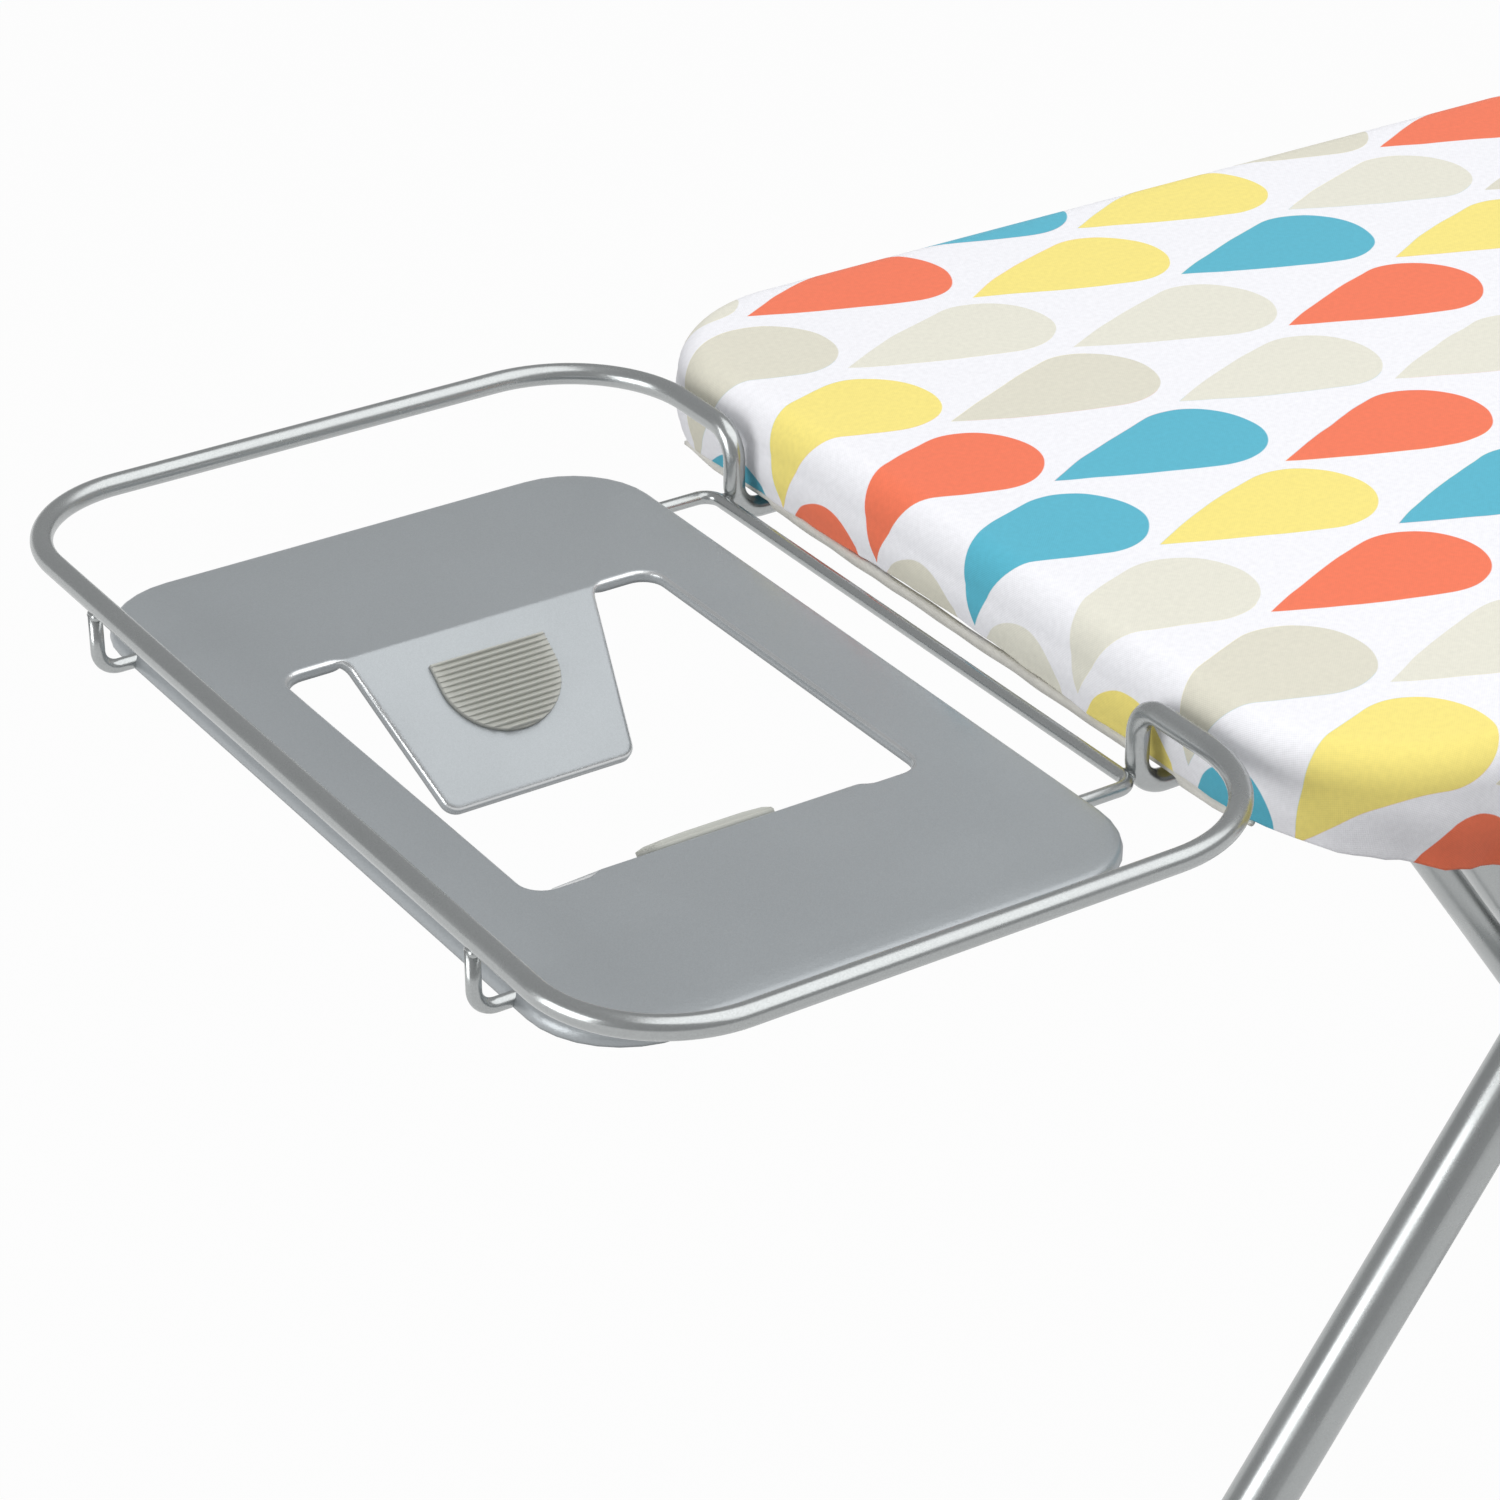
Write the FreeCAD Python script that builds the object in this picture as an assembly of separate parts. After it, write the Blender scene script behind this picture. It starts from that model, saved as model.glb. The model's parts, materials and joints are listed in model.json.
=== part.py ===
import FreeCAD, Part
import math
import os

V = FreeCAD.Vector
CUT_OVER = 1.0               # how far a cut runs past the face it opens

# Folding ironing board with an iron rest. Everything is built in a working frame and moved once,
# on export: X runs from the cover's tail edge towards the nose, Y across, and Z up from the
# underside of the deck. Sizes are in millimetres, angles in degrees.

# ---------------------------------------------------------------- board
RIM_LENGTH = 1240.0
RIM_WIDTH = 450.0
TAIL_CORNER_R = 63.0
SIDE_STRAIGHT = 620.0        # from the rim's tail edge to the start of the taper
NOSE_R = 75.0
RIM_TUBE_R = 10.0
RIM_TUBE_WALL = 1.2
DECK_T = 0.8
PAD_T = 7.4
COVER_T = 1.0
COVER_STAND_OFF = 4.0        # between the rim and the inside of the cover
COVER_HEM_WIDTH = 23.0       # turned under the rim
COVER_HEM_DROP = 4.3         # between the rim's underside and the hem
SOFT_GAP = 0.3               # kept round every soft layer
STRAP_T = 3.0
STRAP_WIDTH = 30.0
STRAP_END_GAP = 0.3
NOSE_STRAP_X = 1060.0

# ---------------------------------------------------------------- legs
LEG_ANGLE = 54.2             # of both leg tubes above the floor
FOLDED_ANGLE = 3.0           # of both leg tubes to the board when folded
LEG_UPPER = 328.0            # along the tube, from the cross pivot up to square with the pin
LEG_LOWER = 740.0            # along the tube, from the cross pivot down to the foot tube
PIN_OFFSET = 24.0            # of the top pins from the tube axes, square to the tubes
PIN_DROP = 28.7              # of the top pins below the deck
HINGE_X = 165.6              # of the fixed top pin from the cover's tail edge
MAIN_TUBE_R = 14.5
MAIN_TUBE_WALL = 1.5
TWIN_TUBE_R = 11.5
TWIN_TUBE_WALL = 1.2
TWIN_GAP = 1.0               # between the main tube and each twin tube
TUBE_TOP_OVER = 9.0          # of the tubes past the point square with the pin
PLUG_DEPTH = 14.0
PLUG_HEAD = 2.5
EAR_T = 3.0
EAR_R = 13.0
EAR_FOOT_R = 11.0
EAR_REACH = 52.0             # along the tube, down from the pin
EAR_GAP = 0.4                # between ears that turn against each other
PIN_R = 5.0
PIN_HEAD_R = 8.0
PIN_HEAD_T = 4.0
RUN_FIT = 0.05               # radial, where a pin turns in a hole
FIXED_FIT = 0.05             # radial, where a pin is held
BUSH_R = 7.5
WASHER_R = 9.5
WASHER_GAP = 0.1             # on each face of a pivot washer
FOOT_TUBE_R = 12.5
FOOT_TUBE_WALL = 1.5
FOOT_SPAN = 400.0
FOOT_R = 16.0
FOOT_LENGTH = 52.0
FOOT_END_T = 6.0
SOLE_WIDTH = 22.0

# ---------------------------------------------------------------- rack and height lever
AXLE_R = 6.0
RAIL_Y = 60.5                # inner face of each rack rail
RAIL_T = 3.0
RAIL_BELOW_SLOT = 9.0
RAIL_FLANGE = 16.0
RAIL_TAIL_OVER = 90.0        # of the rail past the axle, towards the tail
RAIL_NOSE_OVER = 45.0
SLEEVE_R = 8.0
SLEEVE_FLANGE_R = 12.0
SLEEVE_FLANGE_T = 2.5
SLEEVE_GAP = 0.4
SLOT_END_GAP = 3.0
NOTCH_COUNT = 7
NOTCH_PITCH = 30.0
NOTCH_RISE = 6.0
LEVER_WIRE_R = 3.0
LEVER_ARM_Y = 52.0
LEVER_HINGE_BACK = 76.0      # of the lever's axis from the axle, towards the tail
LEVER_ARM_OVER = 14.0        # of the arms past the folded axle
LEVER_ARM_GAP = 0.4
LEVER_REACH_X = 92.0
LEVER_REACH_Y = 190.0
LEVER_END_OVER = 2.0         # of the lever's axis rod past the rack rails
LEVER_KNEE_OUT = 12.0        # of the lever's knee past the axis rod's end
LEVER_KNEE_BACK = 32.2       # of the knee from the lever's axis, towards the tail
LEVER_BENDS = (5.0, 14.0)
GRIP_LENGTH = 88.0
GRIP_WIDTH = 24.0
GRIP_T = 11.0
GRIP_EDGE_R = 4.0
SPRING_R = 5.2
SPRING_WIRE_R = 0.7
SPRING_PITCH = 1.8
SPRING_TURNS = 8
SPRING_Y = 28.0

# ---------------------------------------------------------------- iron rest
REST_LENGTH = 275.3          # cover's tail edge to the outer rail's centre line
REST_SIDE_IN = 7.2           # of the side rails' centre lines inside the rim's sides
REST_RAIL_R = 4.25
REST_RAIL_UP = 1.3           # of the rail's centre above the deck's underside
REST_STAND_OFF = 8.5         # of the rail's returns from the cover's tail edge
REST_DROP_IN = 34.5          # of the rail's drops inside the start of the rim's tail corners
REST_DROP = 34.0
REST_OUTER_BEND = 48.0
REST_INNER_BEND = 54.0
REST_DROP_BEND = 12.0
REST_PLUG_LENGTH = 85.0      # reach of the rail's ends under the board
WIRE_R = 2.65
WIRE_STUB_OUT = 1.2          # of the wire's upturned ends outside the rail's centre line
WIRE_BEND = 8.0
WELD_GAP = 0.05
WIRE_CROSS_BEND = 7.0
PLATE_X = (-263.5, -36.4)
PLATE_SIDE_IN = 37.3         # of the plate's sides inside the side rails' centre lines
PLATE_CORNER_R = 36.0
PLATE_DEPTH = 23.4           # of the plate's top below the rail's centre line
PLATE_T = 1.2
PLATE_SKIRT = 5.0
PLATE_EDGE_R = 4.0
WINDOW_X = (-227.6, -71.4)
WINDOW_WIDTH = 177.0
WINDOW_CORNER_R = 9.0
WINDOW_LIP = 3.5
WIRE_NOTCH_GAP = 0.4
TONGUE_ROOT_X = (-201.8, -96.3)
TONGUE_END_X = (-190.8, -113.0)
TONGUE_LENGTH = 69.4
TONGUE_SLOPE = 36.0
TONGUE_LIP = 4.0
TONGUE_CORNER_R = 6.0
TONGUE_ROOT_OVER = 1.6
GRIP_PAD_WIDTH = 47.6
GRIP_PAD_HEIGHT = 33.9
GRIP_PAD_FROM_ROOT = 13.2
GRIP_PAD_SHOULDER = 11.8     # straight part of the pad's sides
GRIP_PAD_BASE = 2.2
GRIP_PAD_RIB = 1.4
GRIP_PAD_RIBS = 15
SOCKET_WIDTH = 26.0
SOCKET_MOUTH_X = 16.0
SOCKET_END_X = 100.0
SOCKET_BORE_GAP = 0.15
SOCKET_WALL = 4.0
SCREW_R = 2.0
SCREW_HEAD_R = 4.2
SCREW_HEAD_T = 2.4
SCREW_X = (44.0, 92.0)
SCREW_SIDE = (-1.0, 1.0)     # of the bore, for the two screws of each socket

# ---------------------------------------------------------------- worked out from the sizes above
COVER_OUT = COVER_STAND_OFF + COVER_T
PAD_Z = DECK_T + SOFT_GAP
COVER_TOP = PAD_Z + PAD_T + SOFT_GAP + COVER_T
COVER_BOTTOM = -2.0 * RIM_TUBE_R - COVER_HEM_DROP - COVER_T
SINE = math.sin(math.radians(LEG_ANGLE))
COSINE = math.cos(math.radians(LEG_ANGLE))
HALF_BASE = LEG_UPPER * COSINE - PIN_OFFSET * SINE
PIVOT_X = HINGE_X + HALF_BASE
PIVOT_Z = -PIN_DROP - LEG_UPPER * SINE - PIN_OFFSET * COSINE
AXLE_X = HINGE_X + 2.0 * HALF_BASE
FOLDED_LEAN = math.radians(FOLDED_ANGLE)
FOLDED_AXLE_X = HINGE_X + 2.0 * (LEG_UPPER * math.cos(FOLDED_LEAN) - PIN_OFFSET * math.sin(FOLDED_LEAN))
TWIN_Y = MAIN_TUBE_R + TWIN_GAP + TWIN_TUBE_R
LEG_EAR_Y = TWIN_Y + TWIN_TUBE_R
BRACKET_EAR_Y = LEG_EAR_Y + EAR_T + EAR_GAP
FLOOR_Z = PIVOT_Z - LEG_LOWER * SINE - FOOT_R
LEVER_X = AXLE_X - LEVER_HINGE_BACK
LEVER_Z = -PIN_DROP - AXLE_R - LEVER_ARM_GAP - LEVER_WIRE_R
SLOT_R = SLEEVE_R + SLEEVE_GAP
RAIL_BOTTOM = -PIN_DROP - SLOT_R - RAIL_BELOW_SLOT
REST_WIDTH = RIM_WIDTH - 2.0 * REST_SIDE_IN
REST_DROP_Y = 0.5 * RIM_WIDTH - TAIL_CORNER_R - REST_DROP_IN
PLATE_WIDTH = REST_WIDTH - 2.0 * PLATE_SIDE_IN
PLATE_TOP = REST_RAIL_UP - PLATE_DEPTH
WIRE_Z = PLATE_TOP - PLATE_T - WIRE_R
WIRE_Y = REST_DROP_Y + REST_RAIL_R + WIRE_R
WIRE_OUTER_X = -REST_LENGTH - WIRE_STUB_OUT
PLUG_Z = REST_RAIL_UP - REST_DROP
WELD_REACH = REST_DROP_BEND + REST_RAIL_R + WIRE_R + WELD_GAP
WELD_FALL = PLUG_Z + REST_DROP_BEND - WIRE_Z
WIRE_INNER_X = -REST_STAND_OFF + REST_DROP_BEND - math.sqrt(WELD_REACH ** 2 - WELD_FALL ** 2)
X_MIN = -REST_LENGTH - REST_RAIL_R
X_MAX = RIM_LENGTH + 2.0 * COVER_OUT
SHIFT = V(-0.5 * (X_MIN + X_MAX), 0.0, -FLOOR_Z)
SIDES = (("near", -1.0), ("far", 1.0))


# ---------------------------------------------------------------- helpers
def box(x, y, z):
    """Block between the given (low, high) pairs."""
    size = (x[1] - x[0], y[1] - y[0], z[1] - z[0])
    return Part.makeBox(size[0], size[1], size[2], V(x[0], y[0], z[0]))


def rod(start, end, radius):
    """Round bar between two points."""
    run = end - start
    return Part.makeCylinder(radius, run.Length, start, run)


def tube(start, end, radius, wall):
    """Open tube between two points."""
    run = end - start
    run.normalize()
    return rod(start, end, radius).cut(rod(start - run * CUT_OVER, end + run * CUT_OVER, radius - wall))


def cross_bar(x, z, y0, y1, radius):
    """Round bar along Y."""
    return rod(V(x, y0, z), V(x, y1, z), radius)


def ring(x, z, y0, y1, radius, bore):
    """Washer or sleeve along Y."""
    return cross_bar(x, z, y0, y1, radius).cut(cross_bar(x, z, y0 - CUT_OVER, y1 + CUT_OVER, bore))


def arc(start, middle, end):
    """Circular edge through three points."""
    return Part.Arc(start, middle, end).toShape()


def line(start, end):
    """Straight edge."""
    return Part.LineSegment(start, end).toShape()


def sweep(path, radius):
    """Round section swept along a path of runs and tangent arcs."""
    edge = path.Edges[0]
    start = edge.valueAt(edge.FirstParameter)
    along = edge.tangentAt(edge.FirstParameter)
    if edge.Orientation == "Reversed":
        start = edge.valueAt(edge.LastParameter)
        along = -edge.tangentAt(edge.LastParameter)
    section = Part.Wire([Part.makeCircle(radius, start, along)])
    return path.makePipeShell([section], True, False)


def bent_path(points, bends):
    """Open wire through the points, with each inner corner rounded to its bend radius."""
    edges = []
    last = points[0]
    for index in range(1, len(points) - 1):
        corner = points[index]
        inward = points[index - 1] - corner
        outward = points[index + 1] - corner
        inward.normalize()
        outward.normalize()
        half = 0.5 * inward.getAngle(outward)
        bend = bends[index - 1]
        setback = bend / math.tan(half)
        bisector = inward + outward
        bisector.normalize()
        start = corner + inward * setback
        end = corner + outward * setback
        middle = corner + bisector * (bend / math.sin(half) - bend)
        edges.append(line(last, start))
        edges.append(arc(start, middle, end))
        last = end
    edges.append(line(last, points[-1]))
    return Part.Wire(edges)


def rounded_plate(x, y, z, corner):
    """Flat block with its four upright edges rounded."""
    block = box(x, y, z)
    upright = [edge for edge in block.Edges if abs(edge.tangentAt(0.0).z) > 0.5]
    return block.makeFillet(corner, upright)


def link_plate(first, first_r, second, second_r, y0, y1):
    """Plate in the XZ plane round two circles and their outer tangents, from y0 to y1."""
    gap = math.hypot(second[0] - first[0], second[1] - first[1])
    heading = math.atan2(second[1] - first[1], second[0] - first[0])
    lean = math.acos((first_r - second_r) / gap)

    def at(centre, radius, angle):
        return V(centre[0] + radius * math.cos(angle), y0, centre[1] + radius * math.sin(angle))

    edges = [
        arc(at(first, first_r, heading + lean), at(first, first_r, heading + math.pi),
            at(first, first_r, heading - lean)),
        line(at(first, first_r, heading - lean), at(second, second_r, heading - lean)),
        arc(at(second, second_r, heading - lean), at(second, second_r, heading),
            at(second, second_r, heading + lean)),
        line(at(second, second_r, heading + lean), at(first, first_r, heading + lean)),
    ]
    return Part.Face(Part.Wire(edges)).extrude(V(0.0, y1 - y0, 0.0))


# ---------------------------------------------------------------- board outline
def side_radius():
    """Radius of the tapering side, tangent to the straight side and to the nose."""
    run = RIM_LENGTH - NOSE_R - SIDE_STRAIGHT
    half = 0.5 * RIM_WIDTH
    return (run * run + half * half - NOSE_R * NOSE_R) / (2.0 * (half - NOSE_R))


def outline(offset, z):
    """Closed wire of the board's outline, this far outside the rim."""
    half = 0.5 * RIM_WIDTH
    tail = COVER_OUT
    big = side_radius()
    side_centre = V(tail + SIDE_STRAIGHT, half - big, z)
    nose_centre = V(tail + RIM_LENGTH - NOSE_R, 0.0, z)
    join = math.atan2(nose_centre.y - side_centre.y, nose_centre.x - side_centre.x)
    corner_centre = V(tail + TAIL_CORNER_R, half - TAIL_CORNER_R, z)
    upright = 0.5 * math.pi

    def polar(centre, radius, angle):
        return centre + V(math.cos(angle), math.sin(angle), 0.0) * (radius + offset)

    corner = [polar(corner_centre, TAIL_CORNER_R, math.pi - step * 0.25 * math.pi) for step in range(3)]
    side = [polar(side_centre, big, upright + (join - upright) * 0.5 * step) for step in range(3)]
    tip = polar(nose_centre, NOSE_R, 0.0)

    def mirror(point):
        return V(point.x, -point.y, point.z)

    edges = [
        line(mirror(corner[0]), corner[0]),
        arc(corner[0], corner[1], corner[2]),
        line(corner[2], side[0]),
        arc(side[0], side[1], side[2]),
        arc(side[2], tip, mirror(side[2])),
        arc(mirror(side[2]), mirror(side[1]), mirror(side[0])),
        line(mirror(side[0]), mirror(corner[2])),
        arc(mirror(corner[2]), mirror(corner[1]), mirror(corner[0])),
    ]
    return Part.Wire(edges)


def slab(offset, z0, z1):
    """Board outline extruded between two heights."""
    return Part.Face(outline(offset, z0)).extrude(V(0.0, 0.0, z1 - z0))


def half_width(x):
    """Half width of the rim's outside at a distance from the cover's tail edge."""
    past = x - COVER_OUT - SIDE_STRAIGHT
    if past <= 0.0:
        return 0.5 * RIM_WIDTH
    big = side_radius()
    return 0.5 * RIM_WIDTH - big + math.sqrt(big * big - past * past)


# ---------------------------------------------------------------- board pieces
def cotton_cover():
    """Thin skin over the pad, down the sides and turned under the rim."""
    outside = slab(COVER_OUT, COVER_BOTTOM, COVER_TOP)
    inside = slab(COVER_STAND_OFF, COVER_BOTTOM + COVER_T, COVER_TOP - COVER_T)
    mouth = slab(COVER_OUT - COVER_HEM_WIDTH, COVER_BOTTOM - CUT_OVER, COVER_BOTTOM + COVER_T + CUT_OVER)
    return outside.cut(inside).cut(mouth)


def underlay_pad():
    """Felt layer on the deck."""
    return slab(COVER_STAND_OFF - SOFT_GAP, PAD_Z, PAD_Z + PAD_T)


def deck_sheet():
    """Steel sheet on top of the rim."""
    return slab(0.0, 0.0, DECK_T)


def rim_frame():
    """Steel tube bent round the outline."""
    path = outline(-RIM_TUBE_R, -RIM_TUBE_R)
    return sweep(path, RIM_TUBE_R).cut(sweep(path, RIM_TUBE_R - RIM_TUBE_WALL))


def strap(x):
    """Flat bar across the deck's underside, up to the rim on both sides."""
    clear = 2.0 * RIM_TUBE_R + STRAP_END_GAP
    reach = half_width(x + 0.5 * STRAP_WIDTH) - clear
    return box((x - 0.5 * STRAP_WIDTH, x + 0.5 * STRAP_WIDTH), (-reach, reach), (-STRAP_T, 0.0))


def rail_span():
    """Ends of the rack rails along X."""
    return (AXLE_X - RAIL_TAIL_OVER, FOLDED_AXLE_X + RAIL_NOSE_OVER)


def deck_straps():
    """Straps over the hinge, both ends of the rack and the nose."""
    tail_end, nose_end = rail_span()
    places = (HINGE_X, tail_end + 0.5 * STRAP_WIDTH, nose_end - 0.5 * STRAP_WIDTH, NOSE_STRAP_X)
    return Part.makeCompound([strap(x) for x in places])


def hinge_bracket():
    """Pressed channel under the tail strap, with one ear at each end of the hinge pin."""
    half = BRACKET_EAR_Y + EAR_T
    plate_half = 0.5 * STRAP_WIDTH + EAR_R
    web = box((HINGE_X - plate_half, HINGE_X + plate_half), (-half, half), (-STRAP_T - EAR_T, -STRAP_T))
    shape = web
    for side in (-1.0, 1.0):
        low, high = sorted((side * BRACKET_EAR_Y, side * half))
        ear = box((HINGE_X - EAR_R, HINGE_X + EAR_R), (low, high), (-PIN_DROP, -STRAP_T))
        shape = shape.fuse(ear).fuse(cross_bar(HINGE_X, -PIN_DROP, low, high, EAR_R))
    hole = cross_bar(HINGE_X, -PIN_DROP, -half - CUT_OVER, half + CUT_OVER, PIN_R + FIXED_FIT)
    return shape.cut(hole).removeSplitter()


def hinge_pin():
    """Pin of the fixed leg hinge, with a rolled head at each end."""
    half = BRACKET_EAR_Y + EAR_T
    pin = cross_bar(HINGE_X, -PIN_DROP, -half - PIN_HEAD_T, half + PIN_HEAD_T, PIN_R)
    for side in (-1.0, 1.0):
        low, high = sorted((side * half, side * (half + PIN_HEAD_T)))
        pin = pin.fuse(cross_bar(HINGE_X, -PIN_DROP, low, high, PIN_HEAD_R))
    return pin.removeSplitter()


def rack_rail(side):
    """Angle strip with a long slot for the axle and a row of notches along the slot's top."""
    span = rail_span()
    low, high = sorted((side * RAIL_Y, side * (RAIL_Y + RAIL_T)))
    web = box(span, (low, high), (RAIL_BOTTOM, -STRAP_T))
    flange_low, flange_high = sorted((side * RAIL_Y, side * (RAIL_Y + RAIL_FLANGE)))
    flange = box(span, (flange_low, flange_high), (-STRAP_T - RAIL_T, -STRAP_T))
    shape = web.fuse(flange)
    first = (AXLE_X - SLOT_END_GAP, -PIN_DROP)
    last = (FOLDED_AXLE_X + SLOT_END_GAP, -PIN_DROP)
    cut_y = (low - CUT_OVER, high + CUT_OVER)
    shape = shape.cut(link_plate(first, SLOT_R, last, SLOT_R, cut_y[0], cut_y[1]))
    for step in range(NOTCH_COUNT):
        x = AXLE_X + step * NOTCH_PITCH
        notch_top = (x, -PIN_DROP + NOTCH_RISE)
        shape = shape.cut(link_plate((x, -PIN_DROP), SLOT_R, notch_top, SLOT_R, cut_y[0], cut_y[1]))
    lever_hole = cross_bar(LEVER_X, LEVER_Z, cut_y[0], cut_y[1], LEVER_WIRE_R + RUN_FIT)
    return shape.cut(lever_hole).removeSplitter()


def rack_rivets():
    """Rivets that hold the rack rails to their straps."""
    tail_end, nose_end = rail_span()
    rivets = []
    for x in (tail_end + 0.5 * STRAP_WIDTH, nose_end - 0.5 * STRAP_WIDTH):
        for side in (-1.0, 1.0):
            y = side * (RAIL_Y + RAIL_T + 0.5 * (RAIL_FLANGE - RAIL_T))
            top = -STRAP_T - RAIL_T
            rivets.append(rod(V(x, y, top - SCREW_HEAD_T), V(x, y, top), SCREW_HEAD_R))
    return Part.makeCompound(rivets)


def rest_socket(side):
    """Plastic block under the tail that takes one end of the rest's rail."""
    y = side * REST_DROP_Y
    width = (y - 0.5 * SOCKET_WIDTH, y + 0.5 * SOCKET_WIDTH)
    low = PLUG_Z - REST_RAIL_R - SOCKET_BORE_GAP - SOCKET_WALL
    under_hem = COVER_BOTTOM - SOFT_GAP
    inside_rim = COVER_OUT + 2.0 * RIM_TUBE_R + SOFT_GAP
    shape = box((SOCKET_MOUTH_X, SOCKET_END_X), width, (low, under_hem))
    shape = shape.fuse(box((inside_rim, SOCKET_END_X), width, (low, 0.0)))
    bore_r = REST_RAIL_R + SOCKET_BORE_GAP
    mouth = V(SOCKET_MOUTH_X - CUT_OVER, y, PLUG_Z)
    shape = shape.cut(rod(mouth, V(REST_PLUG_LENGTH + SOCKET_WALL, y, PLUG_Z), bore_r))
    for x, turn in zip(SCREW_X, SCREW_SIDE):
        foot = V(x, y + turn * screw_offset(), low - CUT_OVER)
        shape = shape.cut(rod(foot, V(foot.x, foot.y, CUT_OVER), SCREW_R + FIXED_FIT))
    return shape.removeSplitter()


def screw_offset():
    """Distance of each socket screw from the bore's axis."""
    return 0.5 * (REST_RAIL_R + SOCKET_BORE_GAP + 0.5 * SOCKET_WIDTH)


def socket_screws():
    """Screws up through the sockets, two diagonal ones in each."""
    low = PLUG_Z - REST_RAIL_R - SOCKET_BORE_GAP - SOCKET_WALL
    screws = []
    for side in (-1.0, 1.0):
        for x, turn in zip(SCREW_X, SCREW_SIDE):
            y = side * REST_DROP_Y + turn * screw_offset()
            head = rod(V(x, y, low - SCREW_HEAD_T), V(x, y, low), SCREW_HEAD_R)
            screws.append(head.fuse(rod(V(x, y, low), V(x, y, 0.0), SCREW_R)))
    return Part.makeCompound(screws)


# ---------------------------------------------------------------- height lever
def locking_frame():
    """Welded wire frame: hinge rod, two arms under the axle and the lever out to the near side."""
    end_y = RAIL_Y + RAIL_T + LEVER_END_OVER
    frame = cross_bar(LEVER_X, LEVER_Z, -end_y, end_y, LEVER_WIRE_R)
    for side in (-1.0, 1.0):
        y = side * LEVER_ARM_Y
        tip = FOLDED_AXLE_X + LEVER_ARM_OVER
        frame = frame.fuse(rod(V(LEVER_X, y, LEVER_Z), V(tip, y, LEVER_Z), LEVER_WIRE_R))
    knee_y = -end_y - LEVER_KNEE_OUT
    path = bent_path([
        V(LEVER_X, -end_y, LEVER_Z),
        V(LEVER_X, knee_y, LEVER_Z),
        V(LEVER_X - LEVER_KNEE_BACK, knee_y, LEVER_Z),
        V(LEVER_X - LEVER_REACH_X, -LEVER_REACH_Y, LEVER_Z),
    ], LEVER_BENDS)
    return frame.fuse(sweep(path, LEVER_WIRE_R)).removeSplitter()


def lever_grip():
    """Plastic paddle pressed on the end of the lever."""
    x = LEVER_X - LEVER_REACH_X
    y = -LEVER_REACH_Y
    span_x = (x - 0.5 * GRIP_LENGTH, x + 0.5 * GRIP_LENGTH)
    span_y = (y - 0.5 * GRIP_WIDTH, y + 0.5 * GRIP_WIDTH)
    block = box(span_x, span_y, (LEVER_Z - 0.5 * GRIP_T, LEVER_Z + 0.5 * GRIP_T))
    block = block.makeFillet(GRIP_EDGE_R, block.Edges)
    return block.cut(locking_frame())


def lever_spring():
    """Torsion spring round the lever's hinge rod, with a tail up to the strap."""
    height = SPRING_PITCH * SPRING_TURNS
    helix = Part.makeHelix(SPRING_PITCH, height, SPRING_R)
    section = Part.Wire([Part.makeCircle(SPRING_WIRE_R, V(SPRING_R, 0.0, 0.0), V(0.0, 1.0, 0.0))])
    coil = Part.Wire(helix.Edges).makePipeShell([section], True, True)
    tail = rod(V(SPRING_R, 0.0, height), V(SPRING_R, -LEVER_Z - STRAP_T, height), SPRING_WIRE_R)
    shape = coil.fuse(tail)
    shape.rotate(V(0.0, 0.0, 0.0), V(1.0, 0.0, 0.0), 90.0)
    shape.translate(V(LEVER_X, SPRING_Y + height, LEVER_Z))
    return shape


# ---------------------------------------------------------------- legs
def on_leg(lean, along, square):
    """Point at a distance up a leg tube from the cross pivot, and square to it on the pin's side."""
    x = PIVOT_X + lean * (along * COSINE - square * SINE)
    z = PIVOT_Z + along * SINE + square * COSINE
    return (x, z)


def leg_point(lean, along, y):
    """Point on a leg tube's axis."""
    x, z = on_leg(lean, along, 0.0)
    return V(x, y, z)


def leg_tube(lean, y, radius, wall):
    """Tube from the foot tube to the top, notched round the foot tube."""
    shape = tube(leg_point(lean, -LEG_LOWER, y), leg_point(lean, LEG_UPPER + TUBE_TOP_OVER, y), radius, wall)
    x, z = on_leg(lean, -LEG_LOWER, 0.0)
    return shape.cut(cross_bar(x, z, -FOOT_SPAN, FOOT_SPAN, FOOT_TUBE_R))


def main_tube():
    """Single tube from the rack down to the tail foot, with a hole for the pivot bush."""
    hole = cross_bar(PIVOT_X, PIVOT_Z, -2.0 * MAIN_TUBE_R, 2.0 * MAIN_TUBE_R, BUSH_R + FIXED_FIT)
    return leg_tube(1.0, 0.0, MAIN_TUBE_R, MAIN_TUBE_WALL).cut(hole)


def twin_tube(side):
    """One of the two tubes from the tail hinge down to the nose foot, drilled for the pivot bolt."""
    hole = cross_bar(PIVOT_X, PIVOT_Z, -BRACKET_EAR_Y, BRACKET_EAR_Y, PIN_R + FIXED_FIT)
    return leg_tube(-1.0, side * TWIN_Y, TWIN_TUBE_R, TWIN_TUBE_WALL).cut(hole)


def tube_plug(lean, y, radius, wall):
    """Plastic plug in a leg tube's top end."""
    top = LEG_UPPER + TUBE_TOP_OVER
    head = rod(leg_point(lean, top, y), leg_point(lean, top + PLUG_HEAD, y), radius)
    stem = rod(leg_point(lean, top - PLUG_DEPTH, y), leg_point(lean, top, y), radius - wall - FIXED_FIT)
    return head.fuse(stem).removeSplitter()


def main_plug():
    """Plug of the main tube."""
    return tube_plug(1.0, 0.0, MAIN_TUBE_R, MAIN_TUBE_WALL)


def twin_plugs():
    """Plugs of both twin tubes."""
    return Part.makeCompound([tube_plug(-1.0, side * TWIN_Y, TWIN_TUBE_R, TWIN_TUBE_WALL)
                              for side in (-1.0, 1.0)])


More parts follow.
